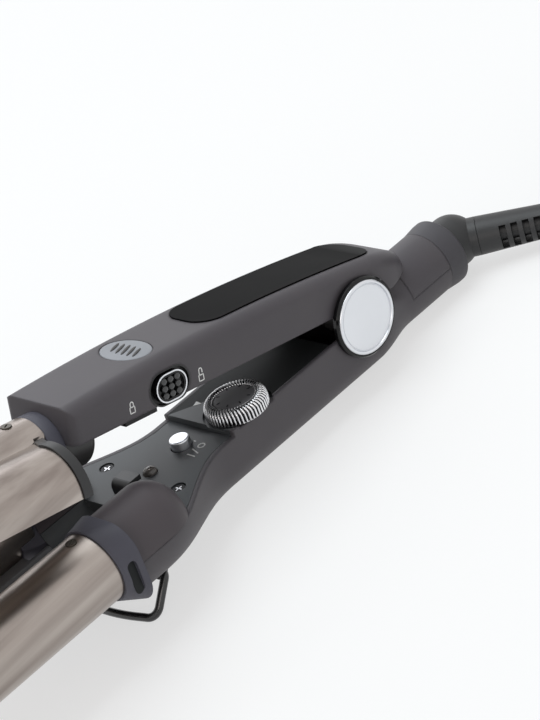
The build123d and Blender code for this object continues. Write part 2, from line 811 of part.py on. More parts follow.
def make_upper_shell():
    """Top shell of the upper arm."""
    shell = upper_outer - upper_inner
    tail_room = block(-2, wide, -wide, wide, -wide, deck_level + running_gap)
    tail_room += block(tail_blend_start_x + tail_blend_length / 2, wide, -wide, wide, -wide,
                       tail_radius - tail_axis_drop + running_gap)
    shell -= to_closed(tail_room)
    shell -= inlay(badge_outline(seat_gap), inlay_room, inlay_depth)
    shell -= inlay(emblem_hole, inlay_room, inlay_depth)
    shell -= slot_oval(slot_length, slot_height, -upper_half_width - 1,
                       -upper_half_width + upper_wall + 1)
    return shell


def make_slider_recess():
    """Oval well in the near wall that the lock slider runs in."""
    outer = -upper_half_width
    well = slot_oval(slot_length - seat_gap, slot_height - seat_gap, outer, outer + upper_wall)
    well -= slot_oval(slot_length - 2 * slot_rim, slot_height - 2 * slot_rim, outer - 1,
                      outer + slot_depth)
    well -= block(slot_x - tongue_width / 2 - slider_travel - running_gap,
                  slot_x + tongue_width / 2 + slider_travel + running_gap,
                  outer - 1, outer + upper_wall + 1,
                  slot_level - tongue_thickness / 2 - running_gap,
                  slot_level + tongue_thickness / 2 + running_gap)
    return well


def make_lock_slider():
    """Ribbed thumb slide with the tongue that goes under the latch hook."""
    outer = -upper_half_width
    pad_rear = outer + slot_depth - running_gap
    pad = slot_oval(slider_length, slider_height, outer - slider_proud, pad_rear)
    pad -= slot_oval(slider_length - 2 * slider_border, slider_height - 2 * slider_border,
                     outer - slider_proud - 1, outer - slider_proud + slider_hollow)
    rib_reach = slider_height / 2 - slider_rib_inset
    for step in range(slider_ribs):
        x = slot_x + (step - (slider_ribs - 1) / 2) * slider_rib_pitch
        pad += block(x - slider_rib / 2, x + slider_rib / 2, outer - slider_proud, outer,
                     slot_level - rib_reach, slot_level + rib_reach)
    half = tongue_width / 2
    stem = block(slot_x - half, slot_x + half, pad_rear - 0.2, control_y + half,
                 slot_level - tongue_thickness / 2, slot_level + tongue_thickness / 2)
    foot_level = panel_level + hook_height - hook_lip_thickness - latch_gap
    leg = block(slot_x + half - tongue_thickness, slot_x + half, control_y - half,
                control_y + half, foot_level - tongue_thickness, slot_level + tongue_thickness / 2)
    lip_end = hook_x + hook_length / 2 + hook_lip
    fork = block(lip_end + running_gap, slot_x + half, control_y - hook_width / 2,
                 control_y + hook_width / 2, foot_level - tongue_thickness, foot_level)
    lamp_room = lamp_radius + running_gap
    fork -= block(lamp_x - lamp_room - slider_travel, lamp_x + lamp_room + slider_travel,
                  control_y - lamp_room, control_y + lamp_room, -wide, wide)
    return pad + stem + leg + fork


def make_upper_cover():
    """Underside of the upper arm with the rounded holder of the middle barrel."""
    inside = upper_form(upper_wall + seat_gap, upper_floor - 6)
    plate = inside & block(upper_front_x, cover_rear_x, -wide, wide, upper_floor,
                           upper_floor + cover_thickness)
    nose_x = scoop_rear_x - holder_rear_gap - holder_nose
    holder = rod_x(holder_radius, upper_front_x + 0.5, nose_x, 0, middle_barrel_rise)
    nose = Pos(nose_x, 0, middle_barrel_rise) * scale(
        Sphere(holder_radius), by=(holder_nose / holder_radius, 1, 1))
    holder = (holder + nose) & block(2 * upper_front_x, 0, -wide, wide, -wide,
                                     upper_floor + cover_thickness)
    cavity = rod_x(holder_radius - shell_wall, upper_front_x + 2, nose_x, 0, middle_barrel_rise)
    front_wall = block(upper_front_x - 1, upper_front_x + upper_wall + seat_gap, -wide, wide,
                       upper_floor - seat_gap, wide)
    cover = plate + holder - cavity - front_wall
    half = tongue_width / 2
    cover -= block(slot_x - half - slider_travel - running_gap - fork_room,
                   slot_x + half + slider_travel + running_gap, control_y - half - running_gap,
                   control_y + half + running_gap, 0, upper_floor + cover_thickness + 1)
    for side in (-1, 1):
        cover -= rod_z(screw_head_radius / 2 + seat_gap, 0, wide, cover_screw_x,
                       side * cover_screw_y)
        cover -= rod_z(screw_head_radius + seat_gap, 0, upper_floor + seat_gap + screw_head_height,
                       cover_screw_x, side * cover_screw_y)
    return cover


def make_upper_screws():
    """Two screws that hold the cover under the upper arm."""
    y = -cover_screw_y
    head = upper_floor + seat_gap
    screw = rod_z(screw_head_radius, head, head + screw_head_height, cover_screw_x, y)
    screw += rod_z(screw_head_radius / 2, head, upper_floor + screw_length, cover_screw_x, y)
    for turn in (0, 90):
        screw -= Pos(cover_screw_x, y, head) * Rot(0, 0, turn) * Box(cross_length, cross_width,
                                                                     2 * cross_depth)
    near, far = both_sides(screw)
    return near + far


def make_hinge_block():
    """Knuckle of the upper arm on the pivot pin, open in the middle for the spring."""
    reach = ear_inner_y - running_gap
    roof = upper_rear_height - upper_wall - 0.5
    web = block(-knuckle_half_length, knuckle_half_length, -reach, reach, 0, roof)
    knuckle = web + rod_y(knuckle_radius, -reach, reach)
    knuckle -= rod_y(pin_radius + seat_gap, -wide, wide)
    slot = block(-wide, wide, -spring_slot_half, spring_slot_half, -wide, spring_leg + 1.0)
    return knuckle - slot


def make_middle_collar():
    """Ring between the upper arm and the middle barrel."""
    rear = upper_front_x - seat_gap
    front = upper_front_x - upper_collar_length
    profile = [(rear, 0), (rear, upper_collar_radius),
               (front + upper_collar_taper, upper_collar_radius), (front, middle_radius + 0.5),
               (front, 0)]
    ring = turned(profile, 0, middle_barrel_rise)
    socket = rod_x(middle_radius + seat_gap / 2, front - 1, rear - collar_floor + seat_gap, 0,
                   middle_barrel_rise)
    return ring - socket


def make_middle_barrel():
    """Heated tube of the middle barrel, on the X axis."""
    rear = upper_front_x - seat_gap - collar_floor
    tube = rod_x(middle_radius, barrel_front_x, rear)
    tube -= rod_x(middle_radius - barrel_wall, barrel_front_x - 1, rear + 1)
    return tube - rod_z(barrel_screw_radius + seat_gap, 0, middle_radius + 1, middle_screw_x, 0)


def plate_section(grow):
    """Section of the M-shaped plate in (Y, Z), thicker outwards by grow."""
    wing_level = -lower_barrel_drop
    outer_radius = wing_outer_radius + grow
    arc_end = math.radians(wing_arc_end)
    reach = 60.0
    wing = Circle(outer_radius) - Circle(wing_inner_radius)
    keep = Polygon((0, 0), (-reach, 0), (-reach, reach),
                   (reach * math.cos(arc_end), reach * math.sin(arc_end)), align=None)
    near = Pos(-barrel_y, wing_level) * (wing & keep)
    start_y = -barrel_y + wing_inner_radius * math.cos(arc_end)
    start_z = wing_level + wing_inner_radius * math.sin(arc_end)
    step_y = math.sin(arc_end)
    step_z = -math.cos(arc_end)
    offset_z = start_z - middle_barrel_rise
    along = start_y * step_y + offset_z * step_z
    middle = saddle_radius + plate_thickness / 2
    length = -along - math.sqrt(along ** 2 - (start_y ** 2 + offset_z ** 2 - middle ** 2))
    thickness = outer_radius - wing_inner_radius
    ramp = Polygon((0, 0), (length, 0), (length, thickness), (0, thickness), align=None)
    near += Pos(start_y, start_z) * Rot(0, 0, wing_arc_end - 90) * ramp
    meet_y = start_y + length * step_y
    meet_z = offset_z + length * step_z
    meet = math.atan2(meet_z, -meet_y)
    saddle = Circle(saddle_radius + plate_thickness) - Circle(saddle_radius)
    cap = Polygon((0, 0), (reach * math.cos(meet), reach * math.sin(meet)), (reach, 2 * reach),
                  (-reach, 2 * reach), (-reach * math.cos(meet), reach * math.sin(meet)),
                  align=None)
    center = Pos(0, middle_barrel_rise) * (saddle & cap)
    return near, mirror(near, Plane.YZ), center


def along_barrels(section, x0, x1):
    """Section in (Y, Z) extruded between two stations."""
    return extrude(across(x0) * section, x1 - x0)


def behind_plate(gap):
    """Space behind the slanted rear edges of the press plate's wings."""
    rear = plate_rear_x + gap
    valley = rear + valley_rear_extra
    edge = Polygon((rear, wide), (rear, barrel_y - wing_edge_inset), (valley, valley_edge_y),
                   (valley + wide, valley_edge_y), (valley + wide, wide), align=None)
    column = Pos(0, 0, -wide) * extrude(edge, 2 * wide)
    return column + mirror(column, Plane.XZ)


def make_press_plate():
    """M-shaped metal plate: a saddle on the middle barrel and two wings."""
    near, far, center = plate_section(0.0)
    rear = upper_front_x - upper_collar_length - seat_gap
    plate = along_barrels(near + far + center, barrel_front_x, rear) - behind_plate(0.0)
    return plate - rod_z(barrel_screw_radius + seat_gap, 0, wide, middle_screw_x, 0)


def make_plate_rear_frame():
    """Dark frame along the rear edges of the wings, standing proud of the plate."""
    near, far, center = plate_section(plate_frame_thickness)
    frame = along_barrels(near + far, plate_rear_x,
                          plate_rear_x + valley_rear_extra + plate_frame_overlap)
    frame = frame & behind_plate(seat_gap)
    frame -= behind_plate(plate_frame_length)
    core = rod_x(saddle_radius + plate_thickness + seat_gap, 2 * barrel_front_x, 0, 0,
                 middle_barrel_rise)
    return frame - core


def make_plate_tip_frame():
    """Dark frame along the front edges of the wings."""
    near, far, center = plate_section(plate_frame_thickness)
    frame = along_barrels(near + far, barrel_front_x - plate_frame_length, barrel_front_x - seat_gap)
    core = rod_x(saddle_radius + plate_thickness + seat_gap, 2 * barrel_front_x, 0, 0,
                 middle_barrel_rise)
    return frame - core


# ------------------------------------------------------------------ wire stand
def make_stand():
    """Bent wire stand, swung down, with its crossbar bowed forwards."""
    low = stand_pivot_level - stand_drop
    inner = stand_half_width - stand_tenon
    points = [
        (stand_pivot_x, -inner, stand_pivot_level), (stand_pivot_x, -stand_half_width,
                                                     stand_pivot_level),
        (stand_corner_x, -stand_half_width, low), (stand_corner_x - stand_bow, 0, low),
        (stand_corner_x, stand_half_width, low), (stand_pivot_x, stand_half_width,
                                                  stand_pivot_level),
        (stand_pivot_x, inner, stand_pivot_level),
    ]
    bend = stand_bend
    path = FilletPolyline(*points, radius=[bend / 2, bend, stand_bow_radius, bend, bend / 2])
    wire = Plane(origin=path @ 0, z_dir=path % 0) * Circle(stand_wire_radius)
    return sweep(wire, path=path)


# ------------------------------------------------------------------ cord swivel and relief
plan = math.radians(relief_heading)
relief_axis = Vector(math.cos(plan), math.sin(plan), relief_fall).normalized()
ball_center = Vector(swivel_center_x, 0, -tail_axis_drop)
relief_start = ball_center + relief_axis * swivel_ball_radius
relief_end = relief_start + relief_axis * relief_length


def along_relief(distance):
    """Plane across the relief's axis at a distance from its root."""
    return Plane(origin=relief_start + relief_axis * distance, x_dir=(0, 0, 1), z_dir=relief_axis)


def make_cord_swivel():
    """Elbow that turns in the tail collar, with its neck and retaining flange."""
    collar_face = tail_end_x + collar_face_depth
    ball = Pos(*ball_center) * Sphere(swivel_ball_radius)
    drum = rod_x(swivel_ball_radius, collar_face + running_gap, swivel_center_x, 0, -tail_axis_drop)
    neck = rod_x(swivel_neck_radius, tail_end_x - swivel_neck_reach, collar_face + 1, 0,
                 -tail_axis_drop)
    flange_rear = tail_end_x - running_gap
    flange = rod_x(swivel_flange_radius, flange_rear - swivel_flange_length, flange_rear, 0,
                   -tail_axis_drop)
    sleeve = extrude(Plane(origin=ball_center, z_dir=relief_axis) * Circle(relief_root_radius),
                     swivel_ball_radius - seat_gap / 2)
    return ball + drum + neck + flange + sleeve


def make_strain_relief():
    """Tapered, slotted relief on the cord."""
    taper = loft([along_relief(seat_gap / 2) * Circle(relief_root_radius),
                  along_relief(relief_length) * Circle(relief_tip_radius)])
    for step in range(relief_slots):
        distance = relief_smooth + step * relief_slot_pitch
        radius = mix(relief_root_radius, relief_tip_radius, distance / relief_length)
        ring = Circle(radius + 1) - Circle(cord_diameter / 2)
        sides = ring & Rectangle(relief_window, wide)
        taper -= extrude(along_relief(distance) * sides, relief_slot_width)
    return taper


# ------------------------------------------------------------------ stance on the table
def stance():
    """Tilt that puts the wire stand and the tail collar on one level."""
    front_x = stand_corner_x
    front_z = stand_pivot_level - stand_drop
    rear_round = edge_round
    rear_x = tail_tip_x - rear_round
    rear_z = -tail_axis_drop - tail_collar_radius + rear_round
    run = math.hypot(rear_x - front_x, rear_z - front_z)
    lean = math.atan2(rear_z - front_z, rear_x - front_x)
    return math.degrees(lean + math.asin((stand_wire_radius - rear_round) / run))


stance_angle = stance()

near_barrel_place = Pos(0, -barrel_y, -lower_barrel_drop)
far_barrel_place = Pos(0, barrel_y, -lower_barrel_drop)
near_dome, far_dome = both_sides(make_barrel_dome())
near_collar, far_collar = both_sides(make_barrel_collar())
near_ring, far_ring = both_sides(make_pivot_ring())
near_cap, far_cap = both_sides(make_pivot_cap())
lower_barrel = make_barrel(barrel_radius, lower_screw_x)
lower_tip = make_tip(barrel_radius)
lower_heater = make_heater(barrel_radius)
lower_screw = make_barrel_screw(barrel_radius, lower_screw_x)
middle_place = Pos(0, 0, middle_barrel_rise)

lower_pieces = {
    "lower_shell": make_lower_shell(),
    "control_panel": make_control_panel(),
    "dial_deck": make_dial_deck(),
    "tail_upper_shell": make_tail_upper_shell(),
    "tail_collar": make_tail_collar(),
    "near_barrel_dome": near_dome,
    "far_barrel_dome": far_dome,
    "near_barrel_collar": near_collar,
    "far_barrel_collar": far_collar,
    "near_barrel": near_barrel_place * lower_barrel,
    "far_barrel": far_barrel_place * lower_barrel,
    "near_barrel_tip": near_barrel_place * lower_tip,
    "far_barrel_tip": far_barrel_place * lower_tip,
    "near_heater": near_barrel_place * lower_heater,
    "far_heater": far_barrel_place * lower_heater,
    "heat_shield": make_heat_shield(),
    "latch_hook": make_latch_hook(),
    "status_lamp": make_status_lamp(),
    "control_board": make_control_board(),
    "power_switch_body": make_switch_body(),
    "temperature_control": make_temperature_control(),
    "panel_screws": make_panel_screws(),
    "lower_barrel_screws": near_barrel_place * lower_screw + far_barrel_place * lower_screw,
    "pivot_pin": make_pivot_pin(),
    "near_pivot_ring": near_ring,
    "far_pivot_ring": far_ring,
    "near_pivot_cap": near_cap,
    "far_pivot_cap": far_cap,
    "jaw_spring": make_jaw_spring(),
    "power_button": make_power_button(),
    "temperature_dial": make_temperature_dial(),
    "dial_cap": make_dial_cap(),
    "bail_stand": make_stand(),
    "cord_swivel": make_cord_swivel(),
    "strain_relief": make_strain_relief(),
}

upper_pieces = {
    "upper_shell": make_upper_shell(),
    "upper_cover": make_upper_cover(),
    "upper_screws": make_upper_screws(),
    "upper_hinge_block": make_hinge_block(),
    "slider_recess": make_slider_recess(),
    "lock_slider": make_lock_slider(),
    "badge_plate": inlay(badge_outline(0), badge_proud, inlay_depth - seat_gap),
    "thumb_emblem": inlay(emblem_outline, 0.0, inlay_depth - seat_gap),
    "middle_barrel_collar": make_middle_collar(),
    "middle_barrel": middle_place * make_middle_barrel(),
    "middle_barrel_tip": middle_place * make_tip(middle_radius),
    "middle_heater": middle_place * make_heater(middle_radius),
    "middle_barrel_screw": middle_place * make_barrel_screw(saddle_radius + plate_thickness,
                                                            middle_screw_x),
    "press_plate": make_press_plate(),
    "press_plate_end_frame": make_plate_rear_frame(),
    "press_plate_tip_frame": make_plate_tip_frame(),
}

tilt = Rot(0, stance_angle, 0)
tool = {name: tilt * piece for name, piece in lower_pieces.items()}
tool.update({name: tilt * to_open(piece) for name, piece in upper_pieces.items()})

own_boxes = [piece.bounding_box() for name, piece in tool.items() if name != "strain_relief"]
low_x = min(box.min.X for box in own_boxes)
high_x = max(box.max.X for box in own_boxes)
low_y = min(box.min.Y for box in own_boxes)
high_y = max(box.max.Y for box in own_boxes)
low_z = min(box.min.Z for box in own_boxes)
frame_shift = Vector(-(low_x + high_x) / 2, -(low_y + high_y) / 2, -low_z)
tool = {name: Pos(*frame_shift) * piece for name, piece in tool.items()}


# ------------------------------------------------------------------ cord, laid on the table
def on_table(point):
    """Point of the working frame where it lies once the tool stands on the table."""
    return (Pos(*frame_shift) * tilt * Pos(*point)).position


cord_radius = cord_diameter / 2
lead_start = on_table(relief_end)
lead_axis = (on_table(relief_end) - on_table(relief_start)).normalized()
lead_route = [lead_start, lead_start + lead_axis * lead_straight, Vector(200.4, -57.2, 3.9),
              Vector(208.1, -65.4, cord_radius)]
coil_outer = coil_mean_radius + coil_columns * cord_radius
coil_inner = coil_mean_radius - coil_columns * cord_radius
coil_height = coil_layers * cord_diameter
coil_x, coil_y = coil_center
exit_x = coil_x + coil_outer - cord_radius
plug_root_y = coil_y + 2 * cord_end_run + cord_end_rise
end_route = [Vector(exit_x, coil_y, cord_radius),
             Vector(exit_x, coil_y + cord_end_run, cord_radius),
             Vector(exit_x, plug_root_y - cord_end_run, plug_thickness / 2),
             Vector(exit_x, plug_root_y, plug_thickness / 2)]


def arc_radii(route):
    """Largest arc at each inner point of a route that its two runs allow."""
    radii = []
    for before, point, after in zip(route, route[1:], route[2:]):
        first = point - before
        second = after - point
        turn = math.radians(first.get_angle(second))
        radii.append(0.45 * min(first.length, second.length) / math.tan(turn / 2))
    return radii


def cord_tube(route):
    """Round cord along a route of straight runs and tangent arcs."""
    radii = arc_radii(route)
    print("arc radii", [round(radius, 1) for radius in radii])
    path = FilletPolyline(*route, radius=radii)
    return sweep(Plane(origin=path @ 0, z_dir=path % 0) * Circle(cord_radius), path=path)


def make_tie():
    """Band round all the turns of the coil."""
    reach = coil_outer - coil_inner + 2 * tie_thickness
    outer = block(-reach / 2, reach / 2, -tie_width / 2, tie_width / 2, 0,
                  coil_height + tie_thickness)
    inner = block(-reach / 2 + tie_thickness, reach / 2 - tie_thickness, -tie_width, tie_width,
                  tie_thickness, coil_height)
    band = Pos(coil_mean_radius, 0, 0) * (outer - inner)
    return Pos(coil_x, coil_y, 0) * Rot(0, 0, tie_bearing) * band


def make_coil():
    """Closed ring in the outer shape of the coiled turns."""
    ring = rod_z(coil_outer, 0, coil_height, coil_x, coil_y)
    ring -= rod_z(coil_inner, -1, coil_height + 1, coil_x, coil_y)
    return fillet(ring.edges().filter_by(GeomType.CIRCLE), coil_round)


def make_plug_body():
    """Flat two-pin plug with a tapered neck for the cord."""
    front_y = plug_root_y + plug_length
    rear_y = plug_root_y + plug_neck_length
    half = plug_width / 2
    shoulder_y = rear_y + plug_shoulder_length
    outline = Polyline((-half + plug_shoulder, rear_y), (half - plug_shoulder, rear_y),
                       (half, shoulder_y), (half, front_y), (-half, front_y), (-half, shoulder_y),
                       close=True)
    body = extrude(make_face(outline), plug_thickness)
    body = fillet(body.edges().filter_by(Axis.Z), plug_corner)
    body = Pos(exit_x, 0, 0) * fillet(body.faces().sort_by(Axis.Z)[0].edges()
                                      + body.faces().sort_by(Axis.Z)[-1].edges(), plug_edge)
    neck = rod_y(plug_neck_radius, plug_root_y, rear_y + 2, exit_x, plug_thickness / 2)
    return body + neck


def make_plug_pins():
    """Two round pins of the plug."""
    front_y = plug_root_y + plug_length
    pin = rod_y(plug_pin_radius, front_y, front_y + pin_length, exit_x - pin_spacing / 2,
                plug_thickness / 2)
    pin = fillet(pin.edges().group_by(Axis.Y)[-1], plug_pin_nose)
    return pin + Pos(pin_spacing, 0, 0) * pin


coil_ring = make_coil()
coil_tie = make_tie()
tool["cord_lead"] = cord_tube(lead_route) - coil_ring
tool["cord_end"] = cord_tube(end_route) - coil_ring
tool["cord_coil"] = coil_ring - coil_tie
tool["coil_tie"] = coil_tie
tool["plug_body"] = make_plug_body()
tool["plug_pins"] = make_plug_pins()

for name, piece in tool.items():
    export_step(piece, f"parts/{name}.step")
turns_length = 2 * math.pi * coil_mean_radius * coil_turns + 2 * lead_straight + 2 * cord_end_run
print("stance", round(stance_angle, 4), "shift", frame_shift)
print("size", round(high_x - low_x, 2), round(high_y - low_y, 2))
print("relief end", lead_start, "axis", lead_axis, "cord length", turns_length)
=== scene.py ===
"""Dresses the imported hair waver: its finishes, the printed legends, the fluted dial, the pivot
caps, the slide lock's grip, the ribbed emblem and the mains cord.

Sizes of the pieces are millimetres in the frame of the arm that carries them: the origin is on
the jaw pivot, X runs towards the cord, -Y is the side with the slide lock, Z is up. The cord and
the studio are in metres, in the row's own frame.
"""

import json
import logging
import math
from collections.abc import Callable, Iterable, Sequence
from dataclasses import dataclass
from enum import Enum

import bmesh
import bpy
from mathutils import Matrix, Vector

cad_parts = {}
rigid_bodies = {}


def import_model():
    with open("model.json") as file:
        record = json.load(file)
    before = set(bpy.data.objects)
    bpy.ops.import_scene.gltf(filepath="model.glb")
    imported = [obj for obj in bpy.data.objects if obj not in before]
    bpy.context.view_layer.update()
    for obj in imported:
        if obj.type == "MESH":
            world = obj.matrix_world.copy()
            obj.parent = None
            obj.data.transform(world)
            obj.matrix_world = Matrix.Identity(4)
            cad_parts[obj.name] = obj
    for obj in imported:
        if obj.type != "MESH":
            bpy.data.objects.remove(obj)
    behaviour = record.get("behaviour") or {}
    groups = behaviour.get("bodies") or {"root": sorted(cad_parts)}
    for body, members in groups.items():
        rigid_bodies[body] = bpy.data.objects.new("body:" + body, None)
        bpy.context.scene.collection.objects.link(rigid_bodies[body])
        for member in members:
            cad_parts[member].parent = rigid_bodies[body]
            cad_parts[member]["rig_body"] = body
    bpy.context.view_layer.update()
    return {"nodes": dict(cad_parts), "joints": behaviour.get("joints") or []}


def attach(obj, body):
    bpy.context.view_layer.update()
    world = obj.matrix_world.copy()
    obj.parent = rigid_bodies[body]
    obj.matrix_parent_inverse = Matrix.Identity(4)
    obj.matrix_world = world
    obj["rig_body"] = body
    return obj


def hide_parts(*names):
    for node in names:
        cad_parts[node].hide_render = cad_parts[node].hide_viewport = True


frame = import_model()

LOG = logging.getLogger("hair_waver")
MM = 0.001
SAME_POINT_MM = 0.001
BEVEL_SAMPLES = 4
MOTTLE_DETAIL = 4.0
MOTTLE_STOPS = (0.35, 0.65)
EVEN = (1.0, 1.0, 1.0)


# ---------------------------------------------------------------- shader helpers
def linear(colour: str) -> tuple[float, float, float, float]:
    """Turn an sRGB hex colour to the linear colour that shaders take.

    Args:
        colour: six hex digits, with or without a leading hash.

    Returns:
        Linear red, green, blue and an alpha of 1.
    """
    digits = colour.lstrip("#")
    channels = [int(digits[i:i + 2], 16) / 255 for i in (0, 2, 4)]
    low, slope, shift, power = 0.04045, 12.92, 0.055, 2.4
    values = [c / slope if c <= low else ((c + shift) / (1 + shift)) ** power for c in channels]
    return (*values, 1.0)


def add_node(tree: bpy.types.NodeTree, kind: str, settings: dict | None = None,
             links: dict | None = None) -> bpy.types.Node:
    """Add a shader node with its settings and incoming links.

    Args:
        tree: node tree that takes the node.
        kind: the node's type name.
        settings: values for input sockets, by name or number, or for the node's own options.
        links: sources for input sockets, by name or number.

    Returns:
        The new node.
    """
    node = tree.nodes.new(kind)
    for key, value in (settings or {}).items():
        if isinstance(key, int) or key in node.inputs:
            node.inputs[key].default_value = value
        else:
            setattr(node, key, value)
    for key, source in (links or {}).items():
        tree.links.new(source, node.inputs[key])
    return node


def seen_ray(tree: bpy.types.NodeTree) -> bpy.types.NodeSocket:
    """Socket that is 1 for rays from the camera, and for what mirrors and glass show."""
    path = add_node(tree, "ShaderNodeLightPath")
    either = add_node(tree, "ShaderNodeMath", {"operation": "MAXIMUM"},
                      {0: path.outputs["Is Camera Ray"], 1: path.outputs["Is Glossy Ray"]})
    seen = add_node(tree, "ShaderNodeMath", {"operation": "MAXIMUM"},
                    {0: either.outputs["Value"], 1: path.outputs["Is Transmission Ray"]})
    return seen.outputs["Value"]


def per_metre(size_mm: float) -> float:
    """Pattern scale in Object coordinates, from the size of one feature in millimetres."""
    return 1.0 / (size_mm * MM)


class Streak(Enum):
    """Direction in which a metal's fine finishing lines run."""

    NONE = EVEN
    AROUND = (1.0, 0.06, 0.06)


# ---------------------------------------------------------------- finishes
@dataclass(frozen=True)
class Finish:
    """What every finish shares: two close colours in soft patches and a roughness that varies."""

    name: str
    colour: str
    second: str
    roughness: float
    swing: float = 0.05
    patch_mm: float = 22.0
    stretch: tuple[float, float, float] = EVEN

    def build(self) -> bpy.types.Material:
        """Make the material."""
        material = bpy.data.materials.new(self.name)
        material.use_nodes = True
        tree = material.node_tree
        tree.nodes.clear()
        add_node(tree, "ShaderNodeOutputMaterial", links={"Surface": self.surface(tree)})
        return material

    def surface(self, tree: bpy.types.NodeTree) -> bpy.types.NodeSocket:
        """Add the finish's own shader and give its socket."""
        raise NotImplementedError

    def mottle(self, tree: bpy.types.NodeTree) -> tuple:
        """Blend the two colours in soft patches.

        Args:
            tree: the material's tree.

        Returns:
            The colour socket, the noise's value socket and the coordinates' socket.
        """
        place = add_node(tree, "ShaderNodeTexCoord").outputs["Object"]
        scaled = add_node(tree, "ShaderNodeMapping", {"Scale": self.stretch}, {"Vector": place})
        noise = add_node(tree, "ShaderNodeTexNoise",
                         {"Scale": per_metre(self.patch_mm), "Detail": MOTTLE_DETAIL},
                         {"Vector": scaled.outputs["Vector"]})
        ramp = add_node(tree, "ShaderNodeValToRGB", links={"Fac": noise.outputs["Fac"]})
        stops = zip(ramp.color_ramp.elements, MOTTLE_STOPS, (self.colour, self.second))
        for stop, position, colour in stops:
            stop.position, stop.color = position, linear(colour)
        return ramp.outputs["Color"], noise.outputs["Fac"], place

    def span(self, tree: bpy.types.NodeTree, source: bpy.types.NodeSocket) -> bpy.types.NodeSocket:
        """Roughness that swings about its middle with a noise value.

        Args:
            tree: the material's tree.
            source: value from 0 to 1.

        Returns:
            The roughness socket.
        """
        low, high = self.roughness - self.swing, self.roughness + self.swing
        mapped = add_node(tree, "ShaderNodeMapRange", {"To Min": low, "To Max": high},
                          {"Value": source})
        return mapped.outputs["Result"]


@dataclass(frozen=True)
class Grained(Finish):
    """Finish with a fine grain in its surface and softened edges."""

    grain_mm: float = 0.45
    grain_depth_mm: float = 0.012
    grain_detail: float = 2.0
    grain_strength: float = 0.6
    edge_mm: float = 0.25

    def normal(self, tree: bpy.types.NodeTree, place: bpy.types.NodeSocket) -> bpy.types.NodeSocket:
        """Normal of the grained surface.

        Args:
            tree: the material's tree.
            place: socket of the coordinates that the grain follows.

        Returns:
            The normal's socket.
        """
        grain = add_node(tree, "ShaderNodeTexNoise",
                         {"Scale": per_metre(self.grain_mm), "Detail": self.grain_detail},
                         {"Vector": place})
        edge = add_node(tree, "ShaderNodeBevel",
                        {"samples": BEVEL_SAMPLES, "Radius": self.edge_mm * MM})
        bump = add_node(tree, "ShaderNodeBump",
                        {"Strength": self.grain_strength, "Distance": self.grain_depth_mm * MM},
                        {"Height": grain.outputs["Fac"], "Normal": edge.outputs["Normal"]})
        return bump.outputs["Normal"]


@dataclass(frozen=True)
class MouldedPlastic(Grained):
    """Injection-moulded plastic or rubber with a fine spark-eroded grain."""

    ior: float = 1.5
    specular: float = 0.5
    coat: float = 0.0
    coat_roughness: float = 0.06

    def surface(self, tree: bpy.types.NodeTree) -> bpy.types.NodeSocket:
        """Add the plastic's shader."""
        colour, patch, place = self.mottle(tree)
        shader = add_node(tree, "ShaderNodeBsdfPrincipled",
                          {"IOR": self.ior, "Specular IOR Level": self.specular,
                           "Coat Weight": self.coat, "Coat Roughness": self.coat_roughness},
                          {"Base Color": colour, "Roughness": self.span(tree, patch),
                           "Normal": self.normal(tree, place)})
        return shader.outputs["BSDF"]


@dataclass(frozen=True)
class CoatedMetal(Grained):
    """Metal with a coating, a plating or a drawn surface, and fine finishing lines."""

    swing: float = 0.03
    patch_mm: float = 26.0
    grain_mm: float = 0.35
    grain_depth_mm: float = 0.004
    grain_detail: float = 3.0
    grain_strength: float = 0.5
    edge_mm: float = 0.15
    streak: Streak = Streak.NONE

    def surface(self, tree: bpy.types.NodeTree) -> bpy.types.NodeSocket:
        """Add the metal's shader."""
        colour, patch, place = self.mottle(tree)
        lines = add_node(tree, "ShaderNodeMapping", {"Scale": self.streak.value}, {"Vector": place})
        shader = add_node(tree, "ShaderNodeBsdfPrincipled", {"Metallic": 1.0},
                          {"Base Color": colour, "Roughness": self.span(tree, patch),
                           "Normal": self.normal(tree, lines.outputs["Vector"])})
        return shader.outputs["BSDF"]


@dataclass(frozen=True)
class ClearLens(Finish):
    """Clear moulded acrylic over a lamp, with faint haze."""

    swing: float = 0.03
    patch_mm: float = 2.0
    ior: float = 1.49
    clear: float = 0.55

    def surface(self, tree: bpy.types.NodeTree) -> bpy.types.NodeSocket:
        """Add the acrylic's shader."""
        colour, patch, _ = self.mottle(tree)
        shader = add_node(tree, "ShaderNodeBsdfPrincipled",
                          {"IOR": self.ior, "Transmission Weight": self.clear},
                          {"Base Color": colour, "Roughness": self.span(tree, patch)})
        return shader.outputs["BSDF"]


@dataclass(frozen=True)
class Ink(Finish):
    """Pad-printed ink, slightly uneven."""

    patch_mm: float = 0.8

    def surface(self, tree: bpy.types.NodeTree) -> bpy.types.NodeSocket:
        """Add the ink's shader."""
        colour, patch, _ = self.mottle(tree)
        shader = add_node(tree, "ShaderNodeBsdfPrincipled", links={
            "Base Color": colour, "Roughness": self.span(tree, patch)})
        return shader.outputs["BSDF"]


@dataclass(frozen=True)
class PaleFloor(Finish):
    """Matt studio floor that stays pale to the eye and in mirrors, and keeps a light shadow."""

    patch_mm: float = 400.0
    glow: float = 0.62

    def surface(self, tree: bpy.types.NodeTree) -> bpy.types.NodeSocket:
        """Add the floor's shader."""
        colour, _, _ = self.mottle(tree)
        matt = add_node(tree, "ShaderNodeBsdfDiffuse", links={"Color": colour})
        white = add_node(tree, "ShaderNodeEmission", {"Color": linear("ffffff"), "Strength": 1.0})
        share = add_node(tree, "ShaderNodeMath", {"operation": "MULTIPLY", 1: self.glow},
                         {0: seen_ray(tree)})
        mix = add_node(tree, "ShaderNodeMixShader", links={
            0: share.outputs["Value"], 1: matt.outputs["BSDF"], 2: white.outputs["Emission"]})
        return mix.outputs["Shader"]


